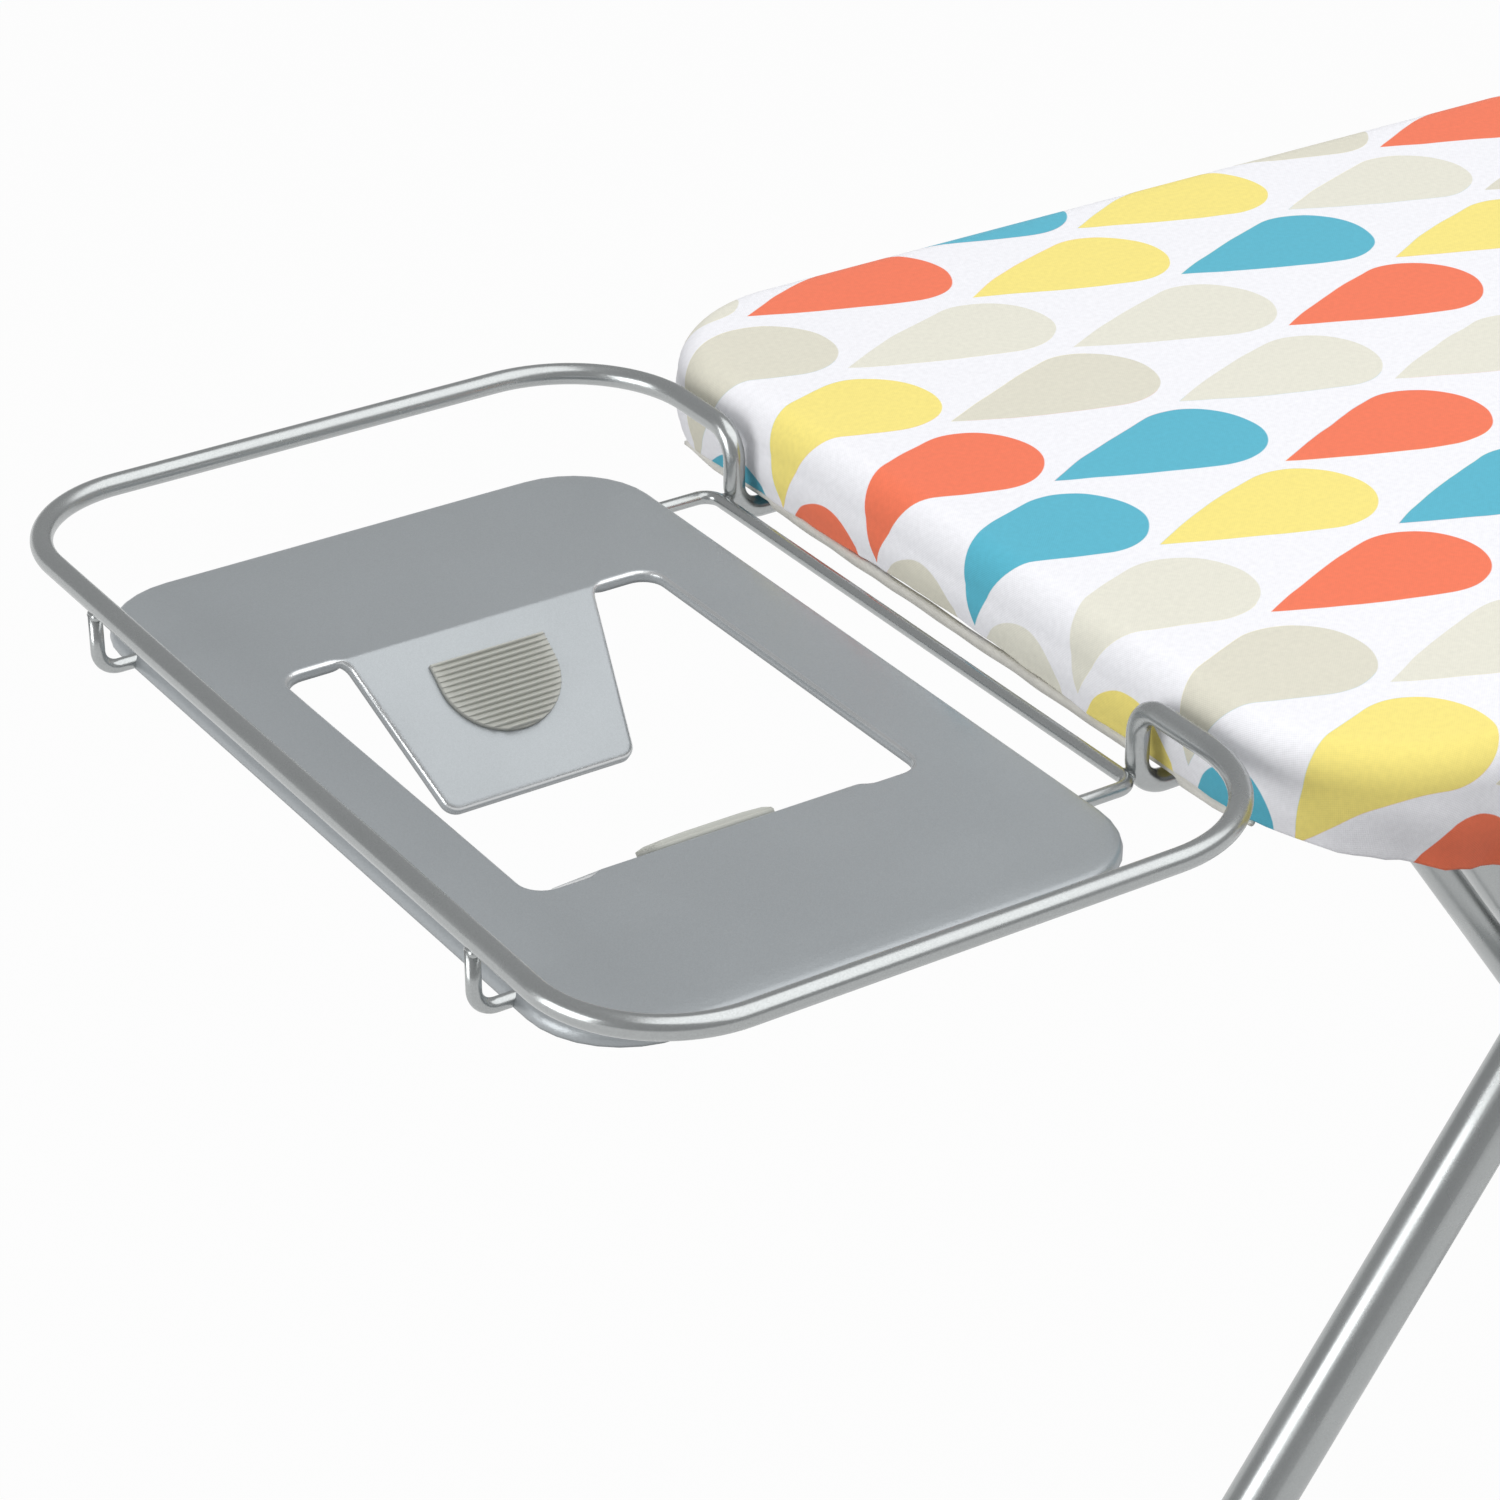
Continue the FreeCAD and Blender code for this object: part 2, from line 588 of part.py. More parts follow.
def ears(lean, inner_y, bore_r):
    """Pair of plates on a leg tube's sides that carry its top pin."""
    pin = on_leg(lean, LEG_UPPER, PIN_OFFSET)
    foot = on_leg(lean, LEG_UPPER - EAR_REACH, 0.0)
    plates = []
    for side in (-1.0, 1.0):
        low, high = sorted((side * inner_y, side * (inner_y + EAR_T)))
        plate = link_plate(pin, EAR_R, foot, EAR_FOOT_R, low, high)
        hole = cross_bar(pin[0], pin[1], low - CUT_OVER, high + CUT_OVER, bore_r)
        plates.append(plate.cut(hole))
    return Part.makeCompound(plates)


def twin_ears():
    """Hinge plates on the outer sides of the twin tubes."""
    return ears(-1.0, LEG_EAR_Y, PIN_R + RUN_FIT)


def axle_ears():
    """Plates on the main tube's sides that carry the axle."""
    return ears(1.0, MAIN_TUBE_R, AXLE_R + FIXED_FIT)


def cross_axle():
    """Bar at the top of the main leg that runs in both rack rails."""
    half = RAIL_Y + RAIL_T + SLEEVE_GAP + SLEEVE_FLANGE_T
    return cross_bar(AXLE_X, -PIN_DROP, -half, half, AXLE_R)


def axle_sleeve(side):
    """Flanged nylon sleeve on the axle's end, in the rail's slot."""
    flange = RAIL_Y + RAIL_T + SLEEVE_GAP
    end = flange + SLEEVE_FLANGE_T
    barrel_y = sorted((side * RAIL_Y, side * flange))
    flange_y = sorted((side * flange, side * end))
    barrel = cross_bar(AXLE_X, -PIN_DROP, barrel_y[0], barrel_y[1], SLEEVE_R)
    collar = cross_bar(AXLE_X, -PIN_DROP, flange_y[0], flange_y[1], SLEEVE_FLANGE_R)
    hole = cross_bar(AXLE_X, -PIN_DROP, -end - CUT_OVER, end + CUT_OVER, AXLE_R + FIXED_FIT)
    return barrel.fuse(collar).cut(hole).removeSplitter()


def pivot_bush():
    """Sleeve through the main tube, in which the pivot bolt turns."""
    return ring(PIVOT_X, PIVOT_Z, -MAIN_TUBE_R, MAIN_TUBE_R, BUSH_R, PIN_R + RUN_FIT)


def pivot_washers():
    """Washers between the main tube and the twin tubes."""
    low = MAIN_TUBE_R + WASHER_GAP
    high = MAIN_TUBE_R + TWIN_GAP - WASHER_GAP
    washers = []
    for side in (-1.0, 1.0):
        ends = sorted((side * low, side * high))
        washers.append(ring(PIVOT_X, PIVOT_Z, ends[0], ends[1], WASHER_R, PIN_R + FIXED_FIT))
    return Part.makeCompound(washers)


def pivot_bolt():
    """Bolt through the twin tubes and the bush, with a round head on the near side."""
    seat = LEG_EAR_Y
    shank = cross_bar(PIVOT_X, PIVOT_Z, -seat, seat + PIN_HEAD_T, PIN_R)
    head = cross_bar(PIVOT_X, PIVOT_Z, -seat - PIN_HEAD_T, -seat, PIN_HEAD_R)
    return shank.fuse(head).removeSplitter()


def pivot_nut():
    """Hexagon nut on the bolt's far end."""
    seat = LEG_EAR_Y
    corners = []
    for step in range(7):
        angle = math.radians(60.0 * step)
        x = PIVOT_X + PIN_HEAD_R * math.cos(angle)
        z = PIVOT_Z + PIN_HEAD_R * math.sin(angle)
        corners.append(V(x, seat, z))
    nut = Part.Face(Part.makePolygon(corners)).extrude(V(0.0, PIN_HEAD_T, 0.0))
    return nut.cut(cross_bar(PIVOT_X, PIVOT_Z, 0.0, seat + 2.0 * PIN_HEAD_T, PIN_R + FIXED_FIT))


def foot_tube(lean):
    """Cross tube at the bottom of a leg."""
    x, z = on_leg(lean, -LEG_LOWER, 0.0)
    half = 0.5 * FOOT_SPAN
    return tube(V(x, -half, z), V(x, half, z), FOOT_TUBE_R, FOOT_TUBE_WALL)


def foot_cap(lean, side):
    """Rubber foot over one end of a foot tube, with a flat sole."""
    x, z = on_leg(lean, -LEG_LOWER, 0.0)
    end = 0.5 * FOOT_SPAN
    inner = side * (end + FOOT_END_T - FOOT_LENGTH)
    outer = side * (end + FOOT_END_T)
    low, high = sorted((inner, outer))
    barrel = cross_bar(x, z, low, high, FOOT_R)
    sole = box((x - 0.5 * SOLE_WIDTH, x + 0.5 * SOLE_WIDTH), (low, high), (z - FOOT_R, z))
    start, stop = sorted((inner - side * CUT_OVER, side * end))
    bore = cross_bar(x, z, start, stop, FOOT_TUBE_R + FIXED_FIT)
    return barrel.fuse(sole).removeSplitter().cut(bore)


# ---------------------------------------------------------------- iron rest
def rest_rail():
    """Round rod bent round the rest, down in front of the tail and back under the board."""
    outer_x = -REST_LENGTH
    inner_x = -REST_STAND_OFF
    side_y = 0.5 * REST_WIDTH
    half = [
        V(REST_PLUG_LENGTH, REST_DROP_Y, PLUG_Z),
        V(inner_x, REST_DROP_Y, PLUG_Z),
        V(inner_x, REST_DROP_Y, REST_RAIL_UP),
        V(inner_x, side_y, REST_RAIL_UP),
        V(outer_x, side_y, REST_RAIL_UP),
    ]
    points = half + [V(p.x, -p.y, p.z) for p in reversed(half)]
    bends = [REST_DROP_BEND, REST_DROP_BEND, REST_INNER_BEND, REST_OUTER_BEND]
    return sweep(bent_path(points, bends + bends[::-1]), REST_RAIL_R)


def rest_wire_frame():
    """Thinner wire under the plate, turned up under the outer rail and crossing at the board end."""
    half = [
        V(WIRE_OUTER_X, WIRE_Y, REST_RAIL_UP - REST_RAIL_R - WELD_GAP),
        V(WIRE_OUTER_X, WIRE_Y, WIRE_Z),
        V(WIRE_INNER_X, WIRE_Y, WIRE_Z),
    ]
    points = half + [V(p.x, -p.y, p.z) for p in reversed(half)]
    return sweep(bent_path(points, [WIRE_BEND, WIRE_CROSS_BEND, WIRE_CROSS_BEND, WIRE_BEND]), WIRE_R)


def pressed_pan(x, width, z_top, depth, corner, edge_r, wall):
    """Rounded pan, open below, with a rounded upper edge."""
    def block(inset, low, high, radius):
        half = 0.5 * width - inset
        shape = rounded_plate((x[0] + inset, x[1] - inset), (-half, half), (low, high), corner - inset)
        rim = [edge for edge in shape.Edges if abs(edge.CenterOfMass.z - high) < 0.01]
        return shape.makeFillet(radius, rim)

    outside = block(0.0, z_top - depth, z_top, edge_r)
    inside = block(wall, z_top - depth - edge_r, z_top - wall, edge_r - wall)
    return outside.cut(inside)


def seat_on_tongue(shape, side):
    """Move a shape from the tongue's own frame (Y down the slope, Z out of it) to its place."""
    shape.rotate(V(0.0, 0.0, 0.0), V(1.0, 0.0, 0.0), -TONGUE_SLOPE)
    shape.translate(V(0.0, -0.5 * WINDOW_WIDTH, PLATE_TOP))
    if side > 0.0:
        return shape.mirror(V(0.0, 0.0, 0.0), V(0.0, 1.0, 0.0))
    return shape


def tongue_blank(inset, low, high):
    """Tapering plate in the tongue's own frame."""
    root = -TONGUE_ROOT_OVER
    end = TONGUE_LENGTH - inset
    points = [
        V(TONGUE_ROOT_X[0] + inset, root, low),
        V(TONGUE_ROOT_X[1] - inset, root, low),
        V(TONGUE_END_X[1] - inset, end, low),
        V(TONGUE_END_X[0] + inset, end, low),
        V(TONGUE_ROOT_X[0] + inset, root, low),
    ]
    shape = Part.Face(Part.makePolygon(points)).extrude(V(0.0, 0.0, high - low))
    upright = [edge for edge in shape.Edges
               if abs(edge.tangentAt(0.0).z) > 0.5 and edge.CenterOfMass.y > 0.5 * end]
    return shape.makeFillet(TONGUE_CORNER_R - inset, upright)


def tongue(side):
    """Sloping tongue with turned-down edges."""
    shape = tongue_blank(0.0, -TONGUE_LIP, 0.0)
    shape = shape.cut(tongue_blank(PLATE_T, -TONGUE_LIP - CUT_OVER, -PLATE_T))
    shape = seat_on_tongue(shape, side)
    above = box(PLATE_X, (-0.5 * PLATE_WIDTH, 0.5 * PLATE_WIDTH), (PLATE_TOP, PLATE_TOP + TONGUE_ROOT_OVER))
    return shape.cut(above)


def rest_plate():
    """Pressed plate with a window, a turned-down window edge and two sloping tongues."""
    plate = pressed_pan(PLATE_X, PLATE_WIDTH, PLATE_TOP, PLATE_SKIRT, PLATE_CORNER_R, PLATE_EDGE_R, PLATE_T)
    half = 0.5 * WINDOW_WIDTH
    lip_x = (WINDOW_X[0] - PLATE_T, WINDOW_X[1] + PLATE_T)
    lip_y = (-half - PLATE_T, half + PLATE_T)
    lip_z = (PLATE_TOP - WINDOW_LIP, PLATE_TOP - 0.5 * PLATE_T)
    plate = plate.fuse(rounded_plate(lip_x, lip_y, lip_z, WINDOW_CORNER_R + PLATE_T))
    hole_z = (PLATE_TOP - WINDOW_LIP - CUT_OVER, PLATE_TOP + CUT_OVER)
    plate = plate.cut(rounded_plate(WINDOW_X, (-half, half), hole_z, WINDOW_CORNER_R))
    notch_x = (PLATE_X[0] - CUT_OVER, PLATE_X[1] + CUT_OVER)
    notch_z = (PLATE_TOP - PLATE_SKIRT - CUT_OVER, PLATE_TOP - PLATE_T)
    notch_half = WIRE_R + WIRE_NOTCH_GAP
    for _, side in SIDES:
        notch_y = (side * WIRE_Y - notch_half, side * WIRE_Y + notch_half)
        plate = plate.fuse(tongue(side)).cut(box(notch_x, notch_y, notch_z))
    return plate.removeSplitter()


def grip_pad(side):
    """Silicone pad on a tongue: a flat edge towards the root, a round one below, and cross ribs."""
    middle = 0.5 * (TONGUE_ROOT_X[0] + TONGUE_ROOT_X[1])
    top = GRIP_PAD_FROM_ROOT
    half = 0.5 * GRIP_PAD_WIDTH
    right = V(middle + half, top + GRIP_PAD_SHOULDER, 0.0)
    left = V(middle - half, top + GRIP_PAD_SHOULDER, 0.0)
    edges = [
        line(V(middle - half, top, 0.0), V(middle + half, top, 0.0)),
        line(V(middle + half, top, 0.0), right),
        arc(right, V(middle, top + GRIP_PAD_HEIGHT, 0.0), left),
        line(left, V(middle - half, top, 0.0)),
    ]
    face = Part.Face(Part.Wire(edges))
    base = face.extrude(V(0.0, 0.0, GRIP_PAD_BASE))
    full = face.extrude(V(0.0, 0.0, GRIP_PAD_BASE + GRIP_PAD_RIB))
    pitch = GRIP_PAD_HEIGHT / GRIP_PAD_RIBS
    bar_x = (middle - half - CUT_OVER, middle + half + CUT_OVER)
    bar_z = (0.5 * GRIP_PAD_BASE, GRIP_PAD_BASE + GRIP_PAD_RIB)
    bars = []
    for index in range(GRIP_PAD_RIBS):
        start = top + index * pitch
        bars.append(box(bar_x, (start, start + 0.5 * pitch), bar_z))
    shape = base.fuse(full.common(Part.makeCompound(bars)))
    return seat_on_tongue(shape, side)


# ---------------------------------------------------------------- all pieces
def pieces():
    """Every node's name and shape."""
    nodes = {
        "cotton_cover": cotton_cover(),
        "underlay_pad": underlay_pad(),
        "deck_sheet": deck_sheet(),
        "rim_frame": rim_frame(),
        "deck_straps": deck_straps(),
        "hinge_bracket": hinge_bracket(),
        "hinge_pin": hinge_pin(),
        "rack_rivets": rack_rivets(),
        "socket_screws": socket_screws(),
        "locking_frame": locking_frame(),
        "lever_grip": lever_grip(),
        "lever_spring": lever_spring(),
        "twin_plugs": twin_plugs(),
        "twin_ears": twin_ears(),
        "pivot_bolt": pivot_bolt(),
        "pivot_nut": pivot_nut(),
        "pivot_washers": pivot_washers(),
        "nose_foot_tube": foot_tube(-1.0),
        "main_tube": main_tube(),
        "main_plug": main_plug(),
        "axle_ears": axle_ears(),
        "cross_axle": cross_axle(),
        "pivot_bush": pivot_bush(),
        "tail_foot_tube": foot_tube(1.0),
        "rest_rail": rest_rail(),
        "rest_wire_frame": rest_wire_frame(),
        "rest_plate": rest_plate(),
    }
    for name, side in SIDES:
        nodes["rack_rail_" + name] = rack_rail(side)
        nodes["rest_socket_" + name] = rest_socket(side)
        nodes["twin_tube_" + name] = twin_tube(side)
        nodes["nose_foot_" + name] = foot_cap(-1.0, side)
        nodes["tail_foot_" + name] = foot_cap(1.0, side)
        nodes["axle_sleeve_" + name] = axle_sleeve(side)
        nodes["grip_pad_" + name] = grip_pad(side)
    return nodes


def main():
    """Write one STEP file for each node."""
    os.makedirs("parts", exist_ok=True)
    for name, shape in pieces().items():
        shape.translate(SHIFT)
        shape.exportStep("parts/" + name + ".step")
        state = "valid" if shape.isValid() else "INVALID"
        print(name, len(shape.Solids), "solids", round(shape.Volume, 1), "mm3", state)


main()
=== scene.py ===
"""Looks of a folding ironing board with a wire iron rest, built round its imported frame.

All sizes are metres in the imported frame: X runs from the iron rest towards the nose, Y to the
far side and Z up. Each sub-assembly is a class whose fields are its sizes.
"""

from __future__ import annotations

import json
import logging
import math
from dataclasses import dataclass, field
from enum import Enum
from typing import Callable, Optional, Sequence, Union

import bmesh
import bpy
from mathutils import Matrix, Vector, noise

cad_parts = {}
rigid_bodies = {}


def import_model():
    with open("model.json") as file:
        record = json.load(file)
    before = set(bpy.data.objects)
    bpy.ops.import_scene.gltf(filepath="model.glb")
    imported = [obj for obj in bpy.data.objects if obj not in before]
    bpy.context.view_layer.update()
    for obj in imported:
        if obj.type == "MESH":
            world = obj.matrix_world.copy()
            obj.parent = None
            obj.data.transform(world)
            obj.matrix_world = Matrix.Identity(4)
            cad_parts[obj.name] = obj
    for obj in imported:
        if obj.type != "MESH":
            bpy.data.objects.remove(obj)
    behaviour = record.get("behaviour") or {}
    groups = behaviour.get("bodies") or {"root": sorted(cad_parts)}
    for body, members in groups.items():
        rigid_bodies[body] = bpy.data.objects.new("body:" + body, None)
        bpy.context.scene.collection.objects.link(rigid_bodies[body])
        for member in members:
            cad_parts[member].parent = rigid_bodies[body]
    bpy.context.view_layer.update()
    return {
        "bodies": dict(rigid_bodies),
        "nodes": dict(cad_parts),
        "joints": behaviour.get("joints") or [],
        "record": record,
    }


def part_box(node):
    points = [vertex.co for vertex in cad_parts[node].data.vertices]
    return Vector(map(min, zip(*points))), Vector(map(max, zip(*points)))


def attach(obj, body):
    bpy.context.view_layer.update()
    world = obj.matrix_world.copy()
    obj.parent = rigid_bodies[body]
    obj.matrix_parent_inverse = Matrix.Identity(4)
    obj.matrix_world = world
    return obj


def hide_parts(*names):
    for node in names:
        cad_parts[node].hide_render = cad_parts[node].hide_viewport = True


LOG = logging.getLogger("ironing_board")
Socket = bpy.types.NodeSocket
Value = Union[float, Socket]
Ring = list[Vector]
Flat = Sequence[Sequence[tuple[float, float]]]
Edge = list[tuple[Vector, Vector]]
Section = list[tuple[float, float, float]]
MM = 0.001
MERGE = 1e-6
SLIVER = 1e-7
CORNER_STEPS = 8


# ------------------------------------------------------------------ colour and node helpers
def linear(red: int, green: int, blue: int) -> tuple[float, float, float, float]:
    """Turn an 8-bit display colour into a linear one.

    Args:
        red, green, blue: display values from 0 to 255.

    Returns:
        The linear colour with an alpha of 1.
    """
    def channel(value: int) -> float:
        share = value / 255.0
        return share / 12.92 if share <= 0.04045 else ((share + 0.055) / 1.055) ** 2.4

    return (channel(red), channel(green), channel(blue), 1.0)


class Wiring:
    """Adds nodes to one node tree and links them."""

    def __init__(self, tree: bpy.types.NodeTree) -> None:
        """Keep the tree that nodes are added to."""
        self.tree = tree

    def add(self, kind: str, **settings: object) -> bpy.types.Node:
        """Add a node.

        Args:
            kind: the node's type name.
            settings: properties set on the node.

        Returns:
            The node.
        """
        node = self.tree.nodes.new(kind)
        for key, value in settings.items():
            setattr(node, key, value)
        return node

    def feed(self, target: Socket, value: object) -> None:
        """Link a socket to the target, or set the target's own value."""
        if isinstance(value, bpy.types.NodeSocket):
            self.tree.links.new(value, target)
        elif target.type == "VECTOR" and len(value) == 4:
            target.default_value = value[:3]
        else:
            target.default_value = value

    def settle(self, node: bpy.types.Node, values: dict[str, object]) -> bpy.types.Node:
        """Feed several of a node's inputs by name, and return the node."""
        for label, value in values.items():
            self.feed(node.inputs[label], value)
        return node

    def group(self, tree: bpy.types.NodeTree, values: dict[str, object]) -> bpy.types.Node:
        """Place a node group, feed its inputs and return it."""
        return self.settle(self.add("ShaderNodeGroup", node_tree=tree), values)

    def math(self, operation: str, *values: Value) -> Socket:
        """Add a Math node fed by the values, and return its result."""
        node = self.add("ShaderNodeMath", operation=operation)
        for target, value in zip(node.inputs, values):
            self.feed(target, value)
        return node.outputs[0]

    def mix(self, share: Value, first: object, second: object) -> Socket:
        """Blend two colours and return the result."""
        node = self.add("ShaderNodeMix", data_type="RGBA")
        self.feed(node.inputs[0], share)
        self.feed(node.inputs[6], first)
        self.feed(node.inputs[7], second)
        return node.outputs[2]

    def ramp(self, share: Socket, low: float, high: float) -> Socket:
        """Smoothly map low..high to 0..1."""
        node = self.add("ShaderNodeMapRange", interpolation_type="SMOOTHSTEP")
        for target, value in zip(node.inputs, (share, low, high, 0.0, 1.0)):
            self.feed(target, value)
        return node.outputs[0]

    def noise(self, place: Socket, scale: Value, detail: float = 2.0) -> Socket:
        """Fractal noise of the place, as a value round 0.5."""
        node = self.add("ShaderNodeTexNoise")
        self.feed(node.inputs["Vector"], place)
        self.feed(node.inputs["Scale"], scale)
        self.feed(node.inputs["Detail"], detail)
        return node.outputs[0]

    def scaled(self, vector: object, amount: Value) -> Socket:
        """Multiply a colour or a vector by an amount."""
        node = self.add("ShaderNodeVectorMath", operation="SCALE")
        self.feed(node.inputs[0], vector)
        self.feed(node.inputs["Scale"], amount)
        return node.outputs[0]

    def bump(self, strength: float, distance: float, height: Socket,
             normal: Optional[Socket] = None) -> Socket:
        """Turn a height into a normal, over another normal where one is given."""
        node = self.settle(self.add("ShaderNodeBump"),
                           {"Strength": strength, "Distance": distance, "Height": height})
        if normal is not None:
            self.feed(node.inputs["Normal"], normal)
        return node.outputs[0]


def new_material(name: str) -> tuple[bpy.types.Material, Wiring, bpy.types.Node]:
    """Start a material, and give it with its wiring and its main shader."""
    made = bpy.data.materials.new(name)
    made.use_nodes = True
    return made, Wiring(made.node_tree), made.node_tree.nodes["Principled BSDF"]


def shader_group(name: str, inputs: Sequence[tuple[str, str, object]],
                 outputs: Sequence[tuple[str, str]]) -> tuple[Wiring, dict[str, Socket], bpy.types.Node]:
    """Start a shader node group.

    Args:
        name: the group's name.
        inputs: name, socket type and default of each input.
        outputs: name and socket type of each output.

    Returns:
        The wiring, the inputs by name, and the output node.
    """
    tree = bpy.data.node_groups.new(name, "ShaderNodeTree")
    for label, kind, default in inputs:
        made = tree.interface.new_socket(name=label, in_out="INPUT", socket_type=kind)
        if default is not None:
            made.default_value = default
    for label, kind in outputs:
        tree.interface.new_socket(name=label, in_out="OUTPUT", socket_type=kind)
    wiring = Wiring(tree)
    start = wiring.add("NodeGroupInput")
    return wiring, {s.name: s for s in start.outputs if s.name}, wiring.add("NodeGroupOutput")


# ------------------------------------------------------------------ shared surface effects
class Effects:
    """Node groups that several finishes use."""

    def __init__(self) -> None:
        """Build each group once."""
        self.grain = self._grain()
        self.speckle = self._speckle()
        self.scuffs = self._scuffs()

    @staticmethod
    def _grain() -> bpy.types.NodeTree:
        """Two sizes of noise as one height."""
        w, given, out = shader_group("surface_grain", [
            ("Place", "NodeSocketVector", None), ("Coarse", "NodeSocketFloat", 200.0),
            ("Fine", "NodeSocketFloat", 900.0), ("Share", "NodeSocketFloat", 0.5)],
            [("Height", "NodeSocketFloat")])
        coarse = w.noise(given["Place"], given["Coarse"], 2.0)
        fine = w.noise(given["Place"], given["Fine"], 3.0)
        fine_part = w.math("MULTIPLY", fine, given["Share"])
        w.feed(out.inputs["Height"], w.math("ADD", coarse, fine_part))
        return w.tree

    @staticmethod
    def _speckle() -> bpy.types.NodeTree:
        """Metal flakes in paint: a lighter or darker tint in each small cell."""
        w, given, out = shader_group("paint_flakes", [
            ("Place", "NodeSocketVector", None), ("Flakes", "NodeSocketFloat", 3500.0),
            ("Colour", "NodeSocketColor", None), ("Amount", "NodeSocketFloat", 0.1)],
            [("Colour", "NodeSocketColor")])
        cells = w.settle(w.add("ShaderNodeTexVoronoi"), {"Vector": given["Place"], "Scale": given["Flakes"]})
        tone = w.add("ShaderNodeSeparateColor")
        w.feed(tone.inputs[0], cells.outputs["Color"])
        shift = w.math("MULTIPLY", w.math("SUBTRACT", tone.outputs[0], 0.5), given["Amount"])
        w.feed(out.inputs["Colour"], w.scaled(given["Colour"], w.math("ADD", 1.0, shift)))
        return w.tree

    @staticmethod
    def _scuffs() -> bpy.types.NodeTree:
        """Soft patches where handling has changed the gloss."""
        w, given, out = shader_group("handling_scuffs", [
            ("Place", "NodeSocketVector", None), ("Size", "NodeSocketFloat", 30.0),
            ("Low", "NodeSocketFloat", 0.3), ("High", "NodeSocketFloat", 0.4)],
            [("Roughness", "NodeSocketFloat")])
        patch = w.ramp(w.noise(given["Place"], given["Size"], 5.0), low=0.35, high=0.68)
        span = w.math("SUBTRACT", given["High"], given["Low"])
        w.feed(out.inputs["Roughness"], w.math("MULTIPLY_ADD", patch, span, given["Low"]))
        return w.tree


@dataclass(frozen=True)
class Finish:
    """A plain hard finish: paint, plated steel, plastic or rubber.

    Where a rim highlight colour is given, the edges that carry the attribute "rolled" take that lighter
    colour as a painted highlight. They are also more polished and more metallic.
    """

    name: str
    colour: tuple[float, float, float, float]
    metallic: float = 0.0
    gloss: tuple[float, float] = (0.4, 0.5)
    flakes: float = 0.0
    flake_scale: float = 3500.0
    coarse: float = 250.0
    fine: float = 1100.0
    relief: float = 0.1
    depth: float = 0.0002
    scuff_size: float = 30.0
    # Lighter colour of the rolled rim: a painted highlight.
    rim_highlight_colour: Optional[tuple[float, float, float, float]] = None
    rim_metallic: float = 0.90
    rim_polish: float = 0.10

    def build(self, effects: Effects) -> bpy.types.Material:
        """Make the material.

        Args:
            effects: the shared node groups.

        Returns:
            The material.
        """
        made, w, shader = new_material(self.name)
        place = w.add("ShaderNodeTexCoord").outputs["Object"]
        tint = w.group(effects.speckle, {"Place": place, "Flakes": self.flake_scale, "Colour": self.colour,
                                         "Amount": self.flakes}).outputs["Colour"]
        gloss = w.group(effects.scuffs, {"Place": place, "Size": self.scuff_size, "Low": self.gloss[0],
                                         "High": self.gloss[1]}).outputs["Roughness"]
        height = w.group(effects.grain, {"Place": place, "Coarse": self.coarse,
                                         "Fine": self.fine}).outputs["Height"]
        metallic: Value = self.metallic
        # Painted highlight: the rolled rim takes the lighter rim colour. Its extra polish and metal are real.
        if self.rim_highlight_colour:
            rim = w.add("ShaderNodeAttribute", attribute_name="rolled").outputs["Fac"]
            tint = w.mix(rim, tint, self.rim_highlight_colour)
            gloss = w.math("MULTIPLY_ADD", rim, -self.rim_polish, gloss)
            metallic = w.math("MULTIPLY_ADD", rim, self.rim_metallic - self.metallic, self.metallic)
        w.settle(shader, {"Base Color": tint, "Roughness": gloss, "Metallic": metallic,
                          "Normal": w.bump(self.relief, self.depth, height)})
        return made


class Dye(Enum):
    """The print's colours."""

    ORANGE = linear(243, 122, 88)
    YELLOW = linear(246, 229, 130)
    TEAL = linear(88, 181, 204)
    STONE = linear(221, 218, 202)
    CREAM = linear(229, 227, 213)


